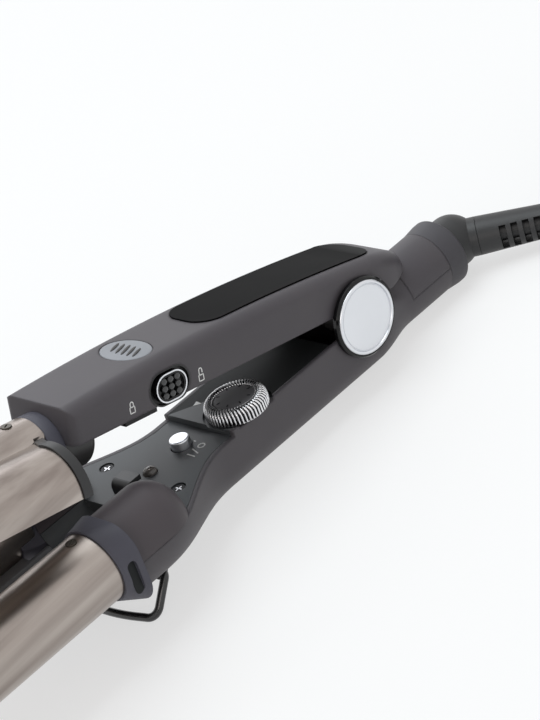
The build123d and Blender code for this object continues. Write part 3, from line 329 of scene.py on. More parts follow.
SOFT_TOUCH = MouldedPlastic("soft_touch_abs", "474347", "4b474a", 0.5, edge_mm=1.1, specular=0.4)
PANEL_ABS = MouldedPlastic("panel_abs", "3f4244", "434547", 0.46, specular=0.4)
BLACK_ABS = MouldedPlastic("black_abs", "1d1d1e", "212122", 0.4)
COLLAR_PPS = MouldedPlastic("heat_resistant_pps", "46454e", "4b4a53", 0.55, grain_mm=0.6,
                            grain_depth_mm=0.02, specular=0.35)
DOME_ABS = MouldedPlastic("dome_abs", "453f42", "494346", 0.5, specular=0.35)
# partly painted light: the dial centre's own grey, lightened to make up for the shade of the upper
# arm above it
DIAL_GREY_WITH_PAINTED_LIGHT = MouldedPlastic("dial_centre_abs", "666668", "6c6c6e", 0.55, specular=0.3)
BADGE_BLACK = MouldedPlastic("badge_black", "09090a", "0c0c0d", 0.4, grain_mm=2.0,
                             grain_depth_mm=0.002, specular=0.02)
# painted shade: near-black standing for shade on the arm's inside past the dial, in the collars'
# vent recesses and in the dial's dents
PAINTED_SHADE_BLACK = MouldedPlastic("shadowed_abs", "17191a", "1b1d1e", 0.6, specular=0.2)
GREY_PPS = MouldedPlastic("grey_pps", "626264", "69696b", 0.45)
EMBLEM_GREY = MouldedPlastic("emblem_grey", "84868b", "8b8d92", 0.4, specular=0.4)
DARK_ABS = MouldedPlastic("dark_abs", "272626", "2b2a2a", 0.42)
TAIL_BAND = MouldedPlastic("tail_band_abs", "3e3c40", "424044", 0.5, specular=0.4)
GLOSS_BLACK = MouldedPlastic("polished_black_abs", "0b0b0c", "0e0e0f", 0.12, grain_mm=2.5,
                             grain_depth_mm=0.002, specular=0.3)
GRIP_BLACK = MouldedPlastic("grip_black", "2a2b2c", "303132", 0.18, grain_mm=2.5,
                            grain_depth_mm=0.002, coat=0.3)
CORD_PVC = MouldedPlastic("cord_pvc", "1f1f20", "242425", 0.45, grain_mm=0.5, grain_depth_mm=0.015)
# partly painted reflection: besides the coating's own uneven tone, the two greys lie in long bands
# along the barrels that stand for light and dark reflections
TITANIUM = CoatedMetal("titanium_coated_aluminium", "8a807a", "b6ada6", 0.3, streak=Streak.AROUND,
                       patch_mm=7.0, stretch=(0.04, 1.0, 1.0))
BRIGHT_PLATE = CoatedMetal("bright_chrome_plate", "e2e2e4", "eaeaec", 0.3)
SATIN_PLATE = CoatedMetal("satin_chrome_plate", "dcdee2", "e2e4e8", 0.3)
# painted reflection: dark chrome in the dial ring's flute valleys, standing for the dark body they
# mirror
PAINTED_REFLECTION_PLATE = CoatedMetal("painted_dark_reflection_plate", "2c2c2e", "333335", 0.25)
STEEL = CoatedMetal("zinc_plated_steel", "8f8e8b", "9a9996", 0.32)
DARK_STEEL = CoatedMetal("blackened_steel", "5a5650", "666059", 0.36)
BLACK_STEEL = CoatedMetal("oiled_steel", "262627", "2d2d2e", 0.4)
BLACK_WIRE = MouldedPlastic("black_enamelled_wire", "121213", "161617", 0.22, grain_mm=1.2,
                            grain_depth_mm=0.003, coat=0.4)
CERAMIC = MouldedPlastic("sintered_ceramic", "d6d1c6", "dcd8ce", 0.7, grain_mm=0.8)
BOARD = MouldedPlastic("printed_board", "1c4a2c", "225534", 0.4)
NICKEL = CoatedMetal("nickel_plated_brass", "c9c2b2", "d1cbbd", 0.2, streak=Streak.AROUND)
LENS = ClearLens("clear_acrylic", "9a938e", "a39c97", 0.06)
WHITE_INK = Ink("white_ink", "d9d9d6", "e3e3e0", 0.5)
BLACK_CARD = Ink("black_card", "1c1a19", "211f1e", 0.9)
PALE_FLOOR = PaleFloor("pale_floor", "f4f4f3", "f6f6f5", 0.9)


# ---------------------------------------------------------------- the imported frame
def joint(name: str) -> dict:
    """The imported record's entry for a joint."""
    return next(entry for entry in frame["joints"] if entry["name"] == name)


def arm_frames() -> tuple[Matrix, Matrix]:
    """Place of each arm's own frame in the row's frame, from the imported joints.

    Returns:
        The matrices that take millimetres in the lower and in the upper arm to metres in the row.
    """
    pivot = Vector(joint("jaw_hinge")["pos_m"])
    press = joint("power_button_press")["axis"]
    slide = joint("lock_slide")["axis"]
    lower_tilt = math.atan2(-press[0], -press[2])
    upper_tilt = math.atan2(slide[2], -slide[0])
    return tuple(Matrix.Translation(pivot) @ Matrix.Rotation(tilt, 4, "Y") @ Matrix.Scale(MM, 4)
                 for tilt in (lower_tilt, upper_tilt))


LOWER, UPPER = arm_frames()
DIAL = LOWER @ Matrix.Translation((-48.9, -7.1, -2.1))  # on the dial's axis, at its ring's foot


# ---------------------------------------------------------------- mesh helpers
def shade(mesh: bpy.types.Mesh, crease: float) -> None:
    """Shade a mesh smooth, with sharp edges where its faces meet at more than an angle.

    Args:
        mesh: the mesh.
        crease: angle in degrees.
    """
    bm = bmesh.new()
    bm.from_mesh(mesh)
    for face in bm.faces:
        face.smooth = True
    for edge in bm.edges:
        edge.smooth = len(edge.link_faces) == 2 and edge.calc_face_angle(0.0) < math.radians(crease)
    bm.to_mesh(mesh)
    bm.free()


def make_piece(bm: bmesh.types.BMesh, name: str, place: Matrix, finish: bpy.types.Material,
               crease: float = 35.0) -> bpy.types.Object:
    """Turn a bmesh into a piece whose place is in its mesh.

    Args:
        bm: the shape, in the units and frame that place takes. It is freed.
        name: the piece's name.
        place: matrix to metres in the row's frame.
        finish: its material.
        crease: angle in degrees past which an edge stays sharp.

    Returns:
        The new object, at the origin.
    """
    bmesh.ops.recalc_face_normals(bm, faces=bm.faces)
    bmesh.ops.transform(bm, matrix=place, verts=bm.verts)
    mesh = bpy.data.meshes.new(name)
    bm.to_mesh(mesh)
    bm.free()
    shade(mesh, crease)
    mesh.materials.append(finish)
    piece = bpy.data.objects.new(name, mesh)
    bpy.context.scene.collection.objects.link(piece)
    return piece


def add_prism(bm: bmesh.types.BMesh, outline: Iterable[tuple[float, float]], low: float,
              high: float, plane: Matrix = Matrix.Identity(4)) -> None:
    """Add a flat outline pulled up to a prism.

    Args:
        bm: takes the prism.
        outline: corners (x, y) in order.
        low: level of its foot.
        high: level of its top.
        plane: turns the prism from the XY plane to where it lies.
    """
    verts = [bm.verts.new((x, y, low)) for x, y in outline]
    foot = bm.faces.new(verts)
    pulled = bmesh.ops.extrude_face_region(bm, geom=[foot], use_keep_orig=True)
    top = [v for v in pulled["geom"] if isinstance(v, bmesh.types.BMVert)]
    bmesh.ops.translate(bm, verts=top, vec=(0, 0, high - low))
    bmesh.ops.transform(bm, matrix=plane, verts=verts + top)


def bar(start: tuple[float, float], end: tuple[float, float],
        width: float) -> list[tuple[float, float]]:
    """Corners of a straight stroke between two points."""
    run = Vector(end) - Vector(start)
    side = Vector((-run.y, run.x)).normalized() * width / 2
    corners = (Vector(start) - side, Vector(end) - side, Vector(end) + side, Vector(start) + side)
    return [(corner.x, corner.y) for corner in corners]


def add_ring(bm: bmesh.types.BMesh, centre: tuple[float, float], radius: float, width: float,
             low: float, high: float, plane: Matrix = Matrix.Identity(4), sweep: float = 360.0,
             steps: int = 28) -> None:
    """Add a round stroke, whole or part of the way round, as short bars.

    Args:
        bm: takes the stroke.
        centre: middle of the circle.
        radius: its radius, to the middle of the stroke.
        width: the stroke's width.
        low: level of its foot.
        high: level of its top.
        plane: turns the stroke from the XY plane to where it lies.
        sweep: how far round it runs, in degrees.
        steps: how many bars.
    """
    bearings = [math.radians(sweep * step / steps) for step in range(steps + 1)]
    inner, outer = ([(centre[0] + reach * math.cos(b), centre[1] + reach * math.sin(b))
                     for b in bearings] for reach in (radius - width / 2, radius + width / 2))
    for step in range(steps):
        corners = (inner[step], outer[step], outer[step + 1], inner[step + 1])
        add_prism(bm, corners, low, high, plane)
    bmesh.ops.remove_doubles(bm, verts=bm.verts, dist=SAME_POINT_MM)


def turned(profile: Sequence[tuple[float, float]], steps: int) -> bmesh.types.BMesh:
    """Turn a profile round the Z axis to a closed skin.

    Args:
        profile: points (radius, level); the last one may lie on the axis.
        steps: how many steps round.

    Returns:
        The new bmesh.
    """
    bm = bmesh.new()
    chain = [bm.verts.new((radius, 0, level)) for radius, level in profile]
    edges = [bm.edges.new(pair) for pair in zip(chain, chain[1:])]
    bmesh.ops.spin(bm, geom=chain + edges, cent=(0, 0, 0), axis=(0, 0, 1), angle=2 * math.pi,
                   steps=steps, use_merge=True)
    bmesh.ops.remove_doubles(bm, verts=bm.verts, dist=SAME_POINT_MM)
    return bm


def add_bulge(bm: bmesh.types.BMesh, place: Matrix, half: Sequence[float],
              steps: int = 24) -> None:
    """Add an ellipsoid.

    Args:
        bm: takes the ellipsoid.
        place: its middle and turn.
        half: half its size along each axis.
        steps: how many steps round it.
    """
    made = bmesh.ops.create_uvsphere(bm, u_segments=steps, v_segments=steps // 2, radius=1.0)
    bmesh.ops.transform(bm, matrix=place @ Matrix.Diagonal((*half, 1)), verts=made["verts"])


# ---------------------------------------------------------------- carried-over pieces
class CadDress:
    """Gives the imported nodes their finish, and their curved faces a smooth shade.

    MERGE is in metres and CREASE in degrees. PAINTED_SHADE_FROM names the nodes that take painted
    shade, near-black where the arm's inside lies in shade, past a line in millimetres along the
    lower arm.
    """

    FINISHES: dict[Finish, tuple[str, ...]] = {
        SOFT_TOUCH: ("lower_shell", "tail_upper_shell", "upper_shell"),
        DOME_ABS: ("near_barrel_dome", "far_barrel_dome"),
        PANEL_ABS: ("control_panel", "dial_deck"),
        TAIL_BAND: ("tail_collar",),
        DARK_ABS: ("upper_cover", "upper_hinge_block"),
        BLACK_ABS: ("latch_hook", "slider_recess", "power_switch_body", "temperature_control",
                    "near_barrel_tip", "far_barrel_tip", "middle_barrel_tip",
                    "press_plate_end_frame", "press_plate_tip_frame", "coil_tie"),
        COLLAR_PPS: ("near_barrel_collar", "far_barrel_collar", "middle_barrel_collar"),
        GREY_PPS: ("heat_shield",),
        GLOSS_BLACK: ("near_pivot_ring", "far_pivot_ring", "lock_slider"),
        BADGE_BLACK: ("badge_plate",),
        SATIN_PLATE: ("power_button",),
        TITANIUM: ("near_barrel", "far_barrel", "middle_barrel", "press_plate"),
        STEEL: ("pivot_pin", "jaw_spring", "upper_screws"),
        BLACK_STEEL: ("panel_screws",),
        DARK_STEEL: ("lower_barrel_screws", "middle_barrel_screw"),
        BLACK_WIRE: ("bail_stand",),
        CORD_PVC: ("cord_swivel", "strain_relief", "plug_body"),
        CERAMIC: ("near_heater", "far_heater", "middle_heater"),
        BOARD: ("control_board",),
        NICKEL: ("plug_pins",),
        LENS: ("status_lamp",),
    }
    MERGE = 2e-6
    CREASE = 28.0
    PAINTED_SHADE_FROM: dict[str, float] = {"dial_deck": -45.0}

    def __init__(self) -> None:
        """Start with no finish built."""
        self.materials: dict[Finish, bpy.types.Material] = {}

    def material(self, finish: Finish) -> bpy.types.Material:
        """The material of a finish, built on first use."""
        if finish not in self.materials:
            self.materials[finish] = finish.build()
        return self.materials[finish]

    def skin(self, node: str, finish: Finish) -> None:
        """Put a smooth-shaded copy of a node in its place.

        Args:
            node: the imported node.
            finish: the copy's finish.
        """
        source = frame["nodes"][node]
        bm = bmesh.new()
        bm.from_mesh(source.data)
        bmesh.ops.remove_doubles(bm, verts=bm.verts, dist=self.MERGE)
        mesh = bpy.data.meshes.new(f"{node}_skin")
        bm.to_mesh(mesh)
        bm.free()
        mesh.materials.clear()
        mesh.materials.append(self.material(finish))
        shade(mesh, self.CREASE)
        # painted shade on the faces of the arm's inside that lie in shade
        if node in self.PAINTED_SHADE_FROM:
            self.paint_shade(mesh, self.PAINTED_SHADE_FROM[node])
        piece = bpy.data.objects.new(f"{node}_skin", mesh)
        bpy.context.scene.collection.objects.link(piece)
        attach(piece, source["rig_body"])
        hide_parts(node)

    def paint_shade(self, mesh: bpy.types.Mesh, start: float) -> None:
        """Paint near-black shade on the faces on the cord's side of a line: the arm's shaded
        inside.

        Args:
            mesh: the mesh, in the row's frame.
            start: the line, in millimetres along the lower arm.
        """
        mesh.materials.append(self.material(PAINTED_SHADE_BLACK))
        back = LOWER.inverted()
        for face in mesh.polygons:
            face.material_index = int(start < (back @ face.center).x)

    def dress(self) -> None:
        """Dress the nodes that FINISHES names."""
        for finish, nodes in self.FINISHES.items():
            for node in nodes:
                self.skin(node, finish)
                LOG.info("%s dressed in %s", node, finish.name)


# ---------------------------------------------------------------- printed legends
@dataclass
class PanelPrint:
    """Printed marks on the lower arm: off and on signs beside the button, pointer at the dial."""

    panel_level: float = -3.5
    deck_level: float = -1.5
    ink: float = 0.05
    stroke: float = 0.42
    off_centre: tuple[float, float] = (-65.65, -7.1)
    off_radius: float = 1.05
    slash: tuple = ((-67.9, -5.5), (-69.05, -9.0))
    on_bar: tuple = ((-70.5, -5.8), (-70.6, -9.2))
    tick: tuple = ((-64.6, -2.75), (-64.6, -3.7))
    pointer: tuple = ((-52.75, 8.34), (-50.51, 8.95), (-50.86, 6.46))

    def build(self, ink: bpy.types.Material) -> None:
        """Make the marks, riding on the lower arm.

        Args:
            ink: their material.
        """
        bm = bmesh.new()
        low, high = self.panel_level, self.panel_level + self.ink
        add_ring(bm, self.off_centre, self.off_radius, self.stroke, low, high)
        for start, end in (self.slash, self.on_bar, self.tick):
            add_prism(bm, bar(start, end, self.stroke), low, high)
        add_prism(bm, self.pointer, self.deck_level, self.deck_level + self.ink)
        piece = make_piece(bm, "panel_print", LOWER, ink)
        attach(piece, "root")


@dataclass
class LockPrint:
    """Padlock signs on the near side of the upper arm, one each side of the slide lock."""

    side: float = -14.5
    ink: float = 0.05
    stroke: float = 0.3
    width: float = 1.75
    height: float = 1.75
    shackle: float = 1.5
    shut_place: tuple[float, float] = (-91.35, 5.25)
    open_place: tuple[float, float] = (-64.95, 4.7)
    open_lift: float = 0.55
    bow_steps: int = 12

    def sign(self, bm: bmesh.types.BMesh, place: tuple[float, float], lift: float) -> None:
        """Add one padlock.

        Args:
            bm: takes the sign.
            place: middle of the body's foot, along the arm and up.
            lift: how far the shackle is raised.
        """
        plane = Matrix.Translation((0, self.side, 0)) @ Matrix.Rotation(math.pi / 2, 4, "X")
        x, z = place
        half, top = self.width / 2, z + self.height
        corners = ((x - half, z), (x + half, z), (x + half, top), (x - half, top))
        for start, end in zip(corners, corners[1:] + corners[:1]):
            add_prism(bm, bar(start, end, self.stroke), 0.0, self.ink, plane)
        bow = half - self.stroke
        foot = top + lift
        crown = foot + self.shackle - bow
        for side in (-1, 1):
            start = top if side < 0 else foot
            add_prism(bm, bar((x + side * bow, start), (x + side * bow, crown), self.stroke), 0.0,
                      self.ink, plane)
        add_ring(bm, (x, crown), bow, self.stroke, 0.0, self.ink, plane, 180.0, self.bow_steps)

    def build(self, ink: bpy.types.Material) -> None:
        """Make both signs, riding on the upper arm."""
        bm = bmesh.new()
        self.sign(bm, self.shut_place, 0.0)
        self.sign(bm, self.open_place, self.open_lift)
        piece = make_piece(bm, "lock_print", UPPER, ink)
        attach(piece, "upper_arm")


# ---------------------------------------------------------------- dial ring
@dataclass
class DialRing:
    """Plated ring of the temperature dial, with flutes that sweep over its crown.

    The profile runs from the foot over the crown to the inner edge, as (radius, level).
    """

    flutes: int = 52
    steps_per_flute: int = 8
    flute_depth: float = 0.6
    flute_power: float = 1.3
    reflection_from: float = 0.5
    crown_loss: float = 0.35
    lean_rate: float = 2.2
    lip_share: float = 0.9
    lip_height: float = 0.1
    sweep: float = 9.0
    crease: float = 80.0
    profile: tuple = ((9.2, 0.0), (9.75, 0.25), (9.8, 0.7), (9.8, 1.6), (9.8, 2.4), (9.68, 3.2),
                      (9.42, 3.8), (9.05, 4.3), (8.6, 4.68), (8.1, 4.92), (7.6, 5.0), (7.1, 4.9),
                      (6.7, 4.65), (6.47, 4.3), (6.45, 3.6))

    def build(self, plate: bpy.types.Material, valley_reflection: bpy.types.Material) -> None:
        """Make the ring, riding on the dial.

        Args:
            plate: its material.
            valley_reflection: material at the foot of the flutes, a painted dark reflection.
        """
        bm = turned(self.profile, self.flutes * self.steps_per_flute)
        # painted reflection: faces deep in a flute, above the foot, take the dark plate
        for face in bm.faces:
            centre = face.calc_center_median()
            deep = self.hollow(centre.x, centre.y) > self.reflection_from
            face.material_index = int(deep and self.profile[1][1] < centre.z)
        self.flute(bm)
        piece = make_piece(bm, "dial_ring", DIAL, plate, crease=self.crease)
        piece.data.materials.append(valley_reflection)
        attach(piece, "temperature_dial")
        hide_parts("temperature_dial")

    def inward(self, x: float, y: float) -> float:
        """Share of the way from the ring's rim to its inner edge."""
        outer, inner = self.profile[2][0], self.profile[-2][0]
        return (outer - math.hypot(x, y)) / (outer - inner)

    def hollow(self, x: float, y: float) -> float:
        """Share of a flute's depth at a place seen from above, 0 on a ridge."""
        bearing = math.atan2(y, x) + math.radians(self.sweep) * self.inward(x, y)
        return (0.5 - 0.5 * math.cos(self.flutes * bearing)) ** self.flute_power

    def flute(self, bm: bmesh.types.BMesh) -> None:
        """Press the flutes into the ring, deepest at its rim and swept over its crown."""
        foot, lip = self.profile[1][1], self.profile[-1][1] + self.lip_height
        for vert in bm.verts:
            bearing = math.atan2(vert.co.y, vert.co.x)
            inward = self.inward(vert.co.x, vert.co.y)
            fade = 1.0 - self.crown_loss * inward
            if vert.co.z < foot or (vert.co.z < lip and inward > self.lip_share):
                fade = 0.0
            depth = self.flute_depth * self.hollow(vert.co.x, vert.co.y) * fade
            lean = min(1.0, self.lean_rate * inward)
            vert.co.x -= math.cos(bearing) * depth * (1 - lean)
            vert.co.y -= math.sin(bearing) * depth * (1 - lean)
            vert.co.z -= depth * lean


@dataclass
class DialCentre:
    """Domed grey centre of the dial, with short dents round its edge, dark with painted shade."""

    profile: tuple = ((6.42, 3.55), (6.42, 4.2), (6.2, 4.42), (5.2, 4.66), (3.6, 4.84), (1.8, 4.92),
                      (0.0, 4.95))
    dents: int = 8
    dent_reach: float = 4.9
    dent_half: tuple[float, float, float] = (0.75, 0.28, 0.12)
    dent_level: float = 4.68
    dent_steps: int = 16
    steps: int = 96

    def build(self, cap: bpy.types.Material, dent_shade: bpy.types.Material) -> None:
        """Make the centre and its dents.

        Args:
            cap: material of the dome, a grey lightened with painted light.
            dent_shade: material of the dents, painted shade.
        """
        dome = make_piece(turned(self.profile, self.steps), "dial_centre", DIAL, cap)
        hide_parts("dial_cap")
        # painted shade: dark marks stand for the shade inside the dents
        marks = bmesh.new()
        for step in range(self.dents):
            spot = (Matrix.Rotation(2 * math.pi * (step + 0.5) / self.dents, 4, "Z")
                    @ Matrix.Translation((self.dent_reach, 0, self.dent_level)))
            add_bulge(marks, spot, self.dent_half, self.dent_steps)
        dents = make_piece(marks, "dial_dent_shade", DIAL, dent_shade)
        for piece in (dome, dents):
            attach(piece, "temperature_dial")


# ---------------------------------------------------------------- pivot caps
@dataclass
class PivotCap:
    """Satin cap over an end of the jaw pivot: a bright rim, a fine groove and a shallow dome.

    The side is -1 for the near side and 1 for the far side.
    """

    side: int
    profile: tuple = ((11.4, 16.0), (11.4, 16.75), (11.3, 17.0), (11.05, 17.2), (10.75, 17.26),
                      (10.45, 17.2), (10.3, 16.98), (10.2, 16.7), (10.0, 16.7), (9.9, 16.9),
                      (9.3, 17.02), (7.6, 17.14), (5.0, 17.23), (2.5, 17.28), (0.0, 17.3))
    steps: int = 120

    def build(self, plate: bpy.types.Material) -> None:
        """Make the cap, riding on the lower arm.

        Args:
            plate: its material.
        """
        name = "near_pivot_cap" if self.side < 0 else "far_pivot_cap"
        place = LOWER @ Matrix.Rotation(-self.side * math.pi / 2, 4, "X")
        piece = make_piece(turned(self.profile, self.steps), f"{name}_dome", place, plate)
        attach(piece, frame["nodes"][name]["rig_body"])
        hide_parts(name)


# ---------------------------------------------------------------- slide lock
@dataclass
class SlidePad:
    """Light rim and nine grip bulges on the lock slide's pad; the rim is partly a painted highlight
    on the slide's edge.
    """

    centre: tuple[float, float] = (-76.7, 7.7)
    face: float = -15.3
    length: float = 11.6
    height: float = 8.6
    rim: float = 0.42
    rim_proud: float = 0.12
    pitch: tuple[float, float] = (2.52, 2.15)
    bulge: tuple[float, float, float] = (1.12, 0.95, 0.55)
    bulge_level: float = -0.1
    steps: int = 20

    def outline(self, inset: float) -> list[tuple[float, float]]:
        """Corners of the pad's outline, moved inwards."""
        radius = self.height / 2 - inset
        straight = (self.length - self.height) / 2
        points = []
        for end in (1, -1):
            for step in range(self.steps + 1):
                bearing = math.pi * (step / self.steps - 0.5) + (0 if end > 0 else math.pi)
                points.append((end * straight + radius * math.cos(bearing),
                               radius * math.sin(bearing)))
        return points

    def build(self, plate: bpy.types.Material, grip: bpy.types.Material) -> None:
        """Make the rim and the bulges.

        Args:
            plate: material of the rim.
            grip: material of the bulges.
        """
        x, z = self.centre
        place = (UPPER @ Matrix.Translation((x, self.face, z))
                 @ Matrix.Rotation(math.pi / 2, 4, "X"))
        # partly painted highlight: the bright rim stands in part for the highlight along the
        # slide's edge
        band = bmesh.new()
        outer, inner = self.outline(0.0), self.outline(self.rim)
        for step in range(len(outer)):
            follow = (step + 1) % len(outer)
            corners = (inner[step], outer[step], outer[follow], inner[follow])
            add_prism(band, corners, 0.0, self.rim_proud)
        bmesh.ops.remove_doubles(band, verts=band.verts, dist=SAME_POINT_MM)
        rim = make_piece(band, "slide_rim", place, plate)
        pads = bmesh.new()
        for column in (-1, 0, 1):
            for row in (-1, 0, 1):
                spot = (column * self.pitch[0], row * self.pitch[1], self.bulge_level)
                add_bulge(pads, Matrix.Translation(spot), self.bulge)
        grips = make_piece(pads, "slide_grips", place, grip)
        for piece in (rim, grips):
            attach(piece, frame["nodes"]["lock_slider"]["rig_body"])


# ---------------------------------------------------------------- small recesses
@dataclass
class RecessDetail:
    """Bright crosses in the panel screws, and painted shade, near-black floors, in the collars'
    vent recesses.
    """

    screw_x: float = -84.0
    screw_y: float = 15.5
    cross_level: float = -4.2
    cross_length: float = 2.55
    cross_width: float = 0.56
    cross_height: float = 0.3
    vent_place: tuple[float, float] = (-119.65, -4.5)
    vent_size: tuple[float, float] = (2.9, 10.7)
    vent_face: float = 33.2
    vent_skin: float = 0.08
    vent_step: int = 12

    def crosses(self, metal: bpy.types.Material) -> None:
        """Make the crosses, riding on the lower arm."""
        bm = bmesh.new()
        low, high = self.cross_level, self.cross_level + self.cross_height
        half = self.cross_length / 2
        for side in (-1, 1):
            y = side * self.screw_y
            for start, end in (((self.screw_x - half, y), (self.screw_x + half, y)),
                               ((self.screw_x, y - half), (self.screw_x, y + half))):
                add_prism(bm, bar(start, end, self.cross_width), low, high)
        piece = make_piece(bm, "screw_crosses", LOWER, metal)
        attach(piece, "root")

    def vent_shade(self, dark: bpy.types.Material) -> None:
        """Make the painted shade, near-black floors in the vent recesses, riding on the lower arm.
        """
        bm = bmesh.new()
        x, z = self.vent_place
        width, height = self.vent_size
        for side in (-1, 1):
            plane = (Matrix.Translation((x, side * self.vent_face, z))
                     @ Matrix.Rotation(-side * math.pi / 2, 4, "X"))
            radius, straight = width / 2, (height - width) / 2
            oval = []
            for turn in range(0, 360, self.vent_step):
                shift = straight if turn < 180 else -straight
                oval.append((radius * math.cos(math.radians(turn)),
                             radius * math.sin(math.radians(turn)) + shift))
            # painted shade: a near-black oval on the floor of each vent recess
            add_prism(bm, oval, 0.0, self.vent_skin, plane)
        piece = make_piece(bm, "vent_painted_shade", LOWER, dark)
        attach(piece, "root")


# ---------------------------------------------------------------- emblem
@dataclass
class ThumbEmblem:
    """Oval thumb rest near the front of the upper arm, with slanting ribs."""

    centre_x: float = -78.5
    level: float = 16.86
    slope: float = -2.4
    half_length: float = 6.5
    half_width: float = 9.0
    thickness: float = 0.9
    steps: int = 96
    rim: float = 0.45
    rim_steps: int = 4
    ribs: int = 5
    rib_pitch: float = 2.35
    rib_half: tuple[float, float, float] = (3.4, 0.62, 0.34)
    rib_turn: float = 24.0

    def place(self) -> Matrix:
        """The oval's own frame, on the arm's top."""
        return (UPPER @ Matrix.Translation((self.centre_x, 0, self.level))
                @ Matrix.Rotation(math.radians(self.slope), 4, "Y"))

    def build(self, base: bpy.types.Material, rib: bpy.types.Material) -> None:
        """Make the oval and its ribs.

        Args:
            base: material of the oval.
            rib: material of the ribs.
        """
        bm = bmesh.new()
        bmesh.ops.create_circle(bm, cap_ends=True, radius=1.0, segments=self.steps)
        bmesh.ops.scale(bm, vec=(self.half_length, self.half_width, 1), verts=bm.verts)
        pulled = bmesh.ops.extrude_face_region(bm, geom=bm.faces[:], use_keep_orig=True)
        top = [v for v in pulled["geom"] if isinstance(v, bmesh.types.BMVert)]
        foot = [v for v in bm.verts if v not in top]
        bmesh.ops.translate(bm, verts=foot, vec=(0, 0, -self.thickness))
        edge = [e for e in bm.edges if all(v in top for v in e.verts)]
        bmesh.ops.bevel(bm, geom=edge, offset=self.rim, segments=self.rim_steps, affect="EDGES",
                        profile=0.5, material=-1)
        oval = make_piece(bm, "emblem_oval", self.place(), base)
        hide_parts("thumb_emblem")
        ribs = bmesh.new()
        for step in range(self.ribs):
            along = (step - (self.ribs - 1) / 2) * self.rib_pitch
            share = math.sqrt(max(0.0, 1 - (along / self.half_width) ** 2))
            length, width, height = self.rib_half
            spot = (Matrix.Translation((0, along, 0))
                    @ Matrix.Rotation(math.radians(self.rib_turn), 4, "Z"))
            add_bulge(ribs, spot, (length * share, width, height))
        bars = make_piece(ribs, "emblem_ribs", self.place(), rib)
        for piece in (oval, bars):
            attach(piece, "upper_arm")


# ---------------------------------------------------------------- mains cord
@dataclass
class MainsCord:
    """Round mains cord from the strain relief to the plug, put away in a tied coil.

    The cells are each turn's column and layer in the coil, in the order in which the cord runs.
    """

    diameter: float = 0.0065
    exit: tuple = (0.184482, -0.039469, 0.006075)
    lead: tuple = ((0.192531, -0.048305, 0.00501), (0.2004, -0.0572, 0.0039))
    coil_centre: tuple[float, float] = (0.238, -0.038)
    mean_radius: float = 0.034
    columns: int = 3
    points_per_turn: int = 24
    entry_bearing: float = 223.0
    hand_over: float = 40.0
    early: float = 42.9
    cells: tuple = ((0, 0), (1, 0), (2, 0), (2, 1), (1, 1), (1, 2), (2, 2), (2, 3), (1, 3), (0, 3),
                    (0, 2), (0, 1), (0, 0))
    tail: tuple = ((0.2785, -0.038, 0.00325), (0.2785, -0.030, 0.00325),
                   (0.2785, -0.014, 0.00685), (0.2785, -0.006, 0.00685))
    length: float = 2.28
    order: int = 3
    smooth_steps: int = 4
    round_steps: int = 4

    def hand_overs(self) -> list[float]:
        """Cumulative bearings at which the cord starts to move to its next place in the coil.

        Returns:
            One bearing in degrees for each move. Where the moves turn a corner, the next one
            comes earlier in the turn, so that the turns never meet.
        """
        starts = [self.entry_bearing]
        moves = [(after[0] - before[0], after[1] - before[1])
                 for before, after in zip(self.cells, self.cells[1:])]
        for before, after in zip(moves, moves[1:]):
            starts.append(starts[-1] + 360.0 - (0.0 if before == after else self.early))
        return starts

    def turns(self) -> list[tuple[float, float, float]]:
        """Control points of the coil's turns, each turn lying beside or on the last."""
        step = 360.0 / self.points_per_turn
        swell = 1.0 / math.cos(math.radians(step / 2))
        starts = self.hand_overs()
        first = math.ceil(self.entry_bearing / step)
        last = 360 * (len(self.cells) - 2) / step
        points = []
        for index in range(first, round(last)):
            bearing = index * step
            move = max(0, sum(start <= bearing for start in starts) - 1)
            share = min(1.0, (bearing - starts[move]) / self.hand_over)
            share = share * share * (3 - 2 * share)  # soft start and stop
            before, after = self.cells[move], self.cells[move + 1]
            column = before[0] + (after[0] - before[0]) * share
            layer = before[1] + (after[1] - before[1]) * share
            radius = self.mean_radius + ((self.columns - 1) / 2 - column) * self.diameter
            angle = math.radians(bearing)
            points.append((self.coil_centre[0] + radius * swell * math.cos(angle),
                           self.coil_centre[1] + radius * swell * math.sin(angle),
                           (layer + 0.5) * self.diameter))
        return points

    def build(self, pvc: bpy.types.Material) -> None:
        """Args:
            pvc: its material.
        """
        route = [self.exit, *self.lead, *self.turns(), *self.tail]
        curve = bpy.data.curves.new("mains_cord", "CURVE")
        curve.dimensions = "3D"
        spline = curve.splines.new("NURBS")
        spline.points.add(len(route) - 1)
        for point, place in zip(spline.points, route):
            point.co = (*place, 1.0)
        spline.order_u = self.order
        spline.use_endpoint_u = True
        spline.resolution_u = self.smooth_steps
        curve.bevel_depth = self.diameter / 2
        curve.bevel_resolution = self.round_steps
        curve.use_fill_caps = True
        curve.materials.append(pvc)
        piece = bpy.data.objects.new("mains_cord", curve)
        bpy.context.scene.collection.objects.link(piece)
        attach(piece, "root")
        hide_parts("cord_lead", "cord_coil", "cord_end")


# ---------------------------------------------------------------- studio
@dataclass(frozen=True)
class SoftBox:
    """Square area lamp aimed at the object."""

    name: str
    place: tuple[float, float, float]
    size: float
    power: float
    colour: str


@dataclass(frozen=True)
class Card:
    """Dark card that faces a point, with half its size each way."""

    name: str
    place: tuple[float, float, float]
    half: tuple[float, float]
    aim: tuple[float, float, float]


def facing(place: Sequence[float], aim: Sequence[float]) -> Matrix:
    """Matrix of something at a place that faces a point."""
    turn = (Vector(aim) - Vector(place)).to_track_quat("-Z", "Y")
    return Matrix.Translation(place) @ turn.to_matrix().to_4x4()


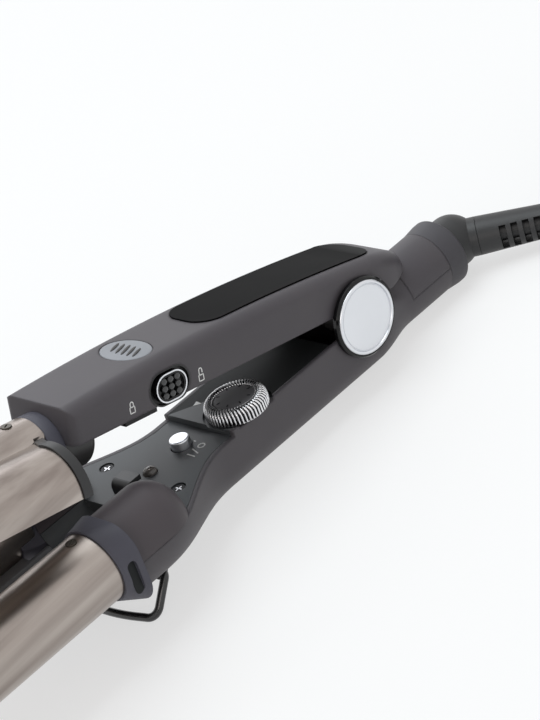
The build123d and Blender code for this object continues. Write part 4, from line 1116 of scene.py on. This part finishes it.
@dataclass
class Studio:
    """Camera, soft boxes, dark cards, pale floor and white surround."""

    camera_place: tuple = (-0.344024, -0.58466, 0.449024)
    right: tuple = (0.634224, -0.693307, -0.342176)
    up: tuple = (0.594413, 0.154240, 0.789229)
    back: tuple = (-0.494401, -0.703942, 0.509934)
    sensor: float = 36.0
    focal_pixels: float = 2800.0
    long_side_pixels: float = 720.0
    clip: tuple[float, float] = (0.01, 50.0)
    floor_half: float = 4.0
    lamp_aim: tuple = (0.0, 0.0, 0.03)
    soft_boxes: tuple = (SoftBox("overhead", (0.0, 0.2, 1.3), 1.1, 12.0, "eef6fa"),
                         SoftBox("left_front", (-1.2, -0.9, 0.6), 0.7, 3.2, "fff4ee"),
                         SoftBox("rear", (0.7, 1.2, 0.9), 0.8, 3.5, "f4f8ff"))
    dark_cards: tuple = (Card("low_card", (-0.62, -0.52, 0.16), (0.25, 0.08), (-0.1, -0.1, 0.05)),
                         Card("high_card", (-0.25, -0.35, 0.95), (0.35, 0.11), (-0.1, 0.0, 0.05)))
    ambient: float = 0.5
    ambient_colour: str = "f2f3f5"

    def build(self) -> None:
        """Make all of the studio."""
        self.camera()
        self.floor()
        self.cards()
        self.lamps()
        self.surround()
        bpy.context.scene.view_settings.view_transform = "Standard"

    def camera(self) -> None:
        """Camera without shift or depth of field."""
        data = bpy.data.cameras.new("camera")
        data.sensor_width = self.sensor
        data.lens = self.sensor * self.focal_pixels / self.long_side_pixels
        data.clip_start, data.clip_end = self.clip
        camera = bpy.data.objects.new("camera", data)
        axes = Matrix((self.right, self.up, self.back)).transposed().to_4x4()
        camera.matrix_world = Matrix.Translation(self.camera_place) @ axes
        bpy.context.scene.collection.objects.link(camera)
        bpy.context.scene.camera = camera

    def floor(self) -> None:
        """Pale floor that keeps the shadow."""
        bm = bmesh.new()
        bmesh.ops.create_grid(bm, x_segments=1, y_segments=1, size=self.floor_half)
        floor = make_piece(bm, "floor", Matrix.Identity(4), PALE_FLOOR.build())

    def cards(self) -> None:
        """Dark cards that only mirrors see, which give metal its dark bands."""
        finish = BLACK_CARD.build()
        for plan in self.dark_cards:
            bm = bmesh.new()
            bmesh.ops.create_grid(bm, x_segments=1, y_segments=1, size=1.0)
            bmesh.ops.scale(bm, vec=(*plan.half, 1), verts=bm.verts)
            card = make_piece(bm, plan.name, facing(plan.place, plan.aim), finish)
            card.visible_camera = False
            card.visible_diffuse = False
            card.visible_shadow = False
            card.visible_transmission = False

    def lamps(self) -> None:
        """Large soft boxes: one overhead, one from the camera's left, one behind."""
        for box in self.soft_boxes:
            data = bpy.data.lights.new(box.name, "AREA")
            data.shape = "SQUARE"
            data.size = box.size
            data.energy = box.power
            data.color = linear(box.colour)[:3]
            lamp = bpy.data.objects.new(box.name, data)
            lamp.matrix_world = facing(box.place, self.lamp_aim)
            bpy.context.scene.collection.objects.link(lamp)

    def surround(self) -> None:
        """World that lights softly and shows white to the eye and in mirrors."""
        world = bpy.data.worlds.new("surround")
        world.use_nodes = True
        tree = world.node_tree
        tree.nodes.clear()
        soft = add_node(tree, "ShaderNodeBackground",
                        {"Color": linear(self.ambient_colour), "Strength": self.ambient})
        seen = add_node(tree, "ShaderNodeBackground", {"Color": linear("ffffff"), "Strength": 1.0})
        mix = add_node(tree, "ShaderNodeMixShader", links={
            0: seen_ray(tree), 1: soft.outputs["Background"], 2: seen.outputs["Background"]})
        add_node(tree, "ShaderNodeOutputWorld", links={"Surface": mix.outputs["Shader"]})
        bpy.context.scene.world = world


def main() -> None:
    """Build the studio, dress the nodes and add the detailed pieces."""
    logging.basicConfig(level=logging.INFO, format="%(name)s: %(message)s")
    Studio().build()
    dress = CadDress()
    dress.dress()
    steps: tuple[tuple[str, Callable[..., None], tuple[Finish, ...]], ...] = (
        ("cord", MainsCord().build, (CORD_PVC,)),
        ("dial ring", DialRing().build, (BRIGHT_PLATE, PAINTED_REFLECTION_PLATE)),
        ("dial centre", DialCentre().build, (DIAL_GREY_WITH_PAINTED_LIGHT, PAINTED_SHADE_BLACK)),
        ("near pivot cap", PivotCap(side=-1).build, (SATIN_PLATE,)),
        ("far pivot cap", PivotCap(side=1).build, (SATIN_PLATE,)),
        ("slide pad", SlidePad().build, (SATIN_PLATE, GRIP_BLACK)),
        ("screw crosses", RecessDetail().crosses, (BRIGHT_PLATE,)),
        ("vent painted shade", RecessDetail().vent_shade, (PAINTED_SHADE_BLACK,)),
        ("panel print", PanelPrint().build, (WHITE_INK,)),
        ("lock print", LockPrint().build, (WHITE_INK,)),
        ("emblem", ThumbEmblem().build, (EMBLEM_GREY, DARK_ABS)),
    )
    for name, build, finishes in steps:
        build(*(dress.material(finish) for finish in finishes))
        LOG.info("%s built", name)


if __name__ == "__main__":
    main()
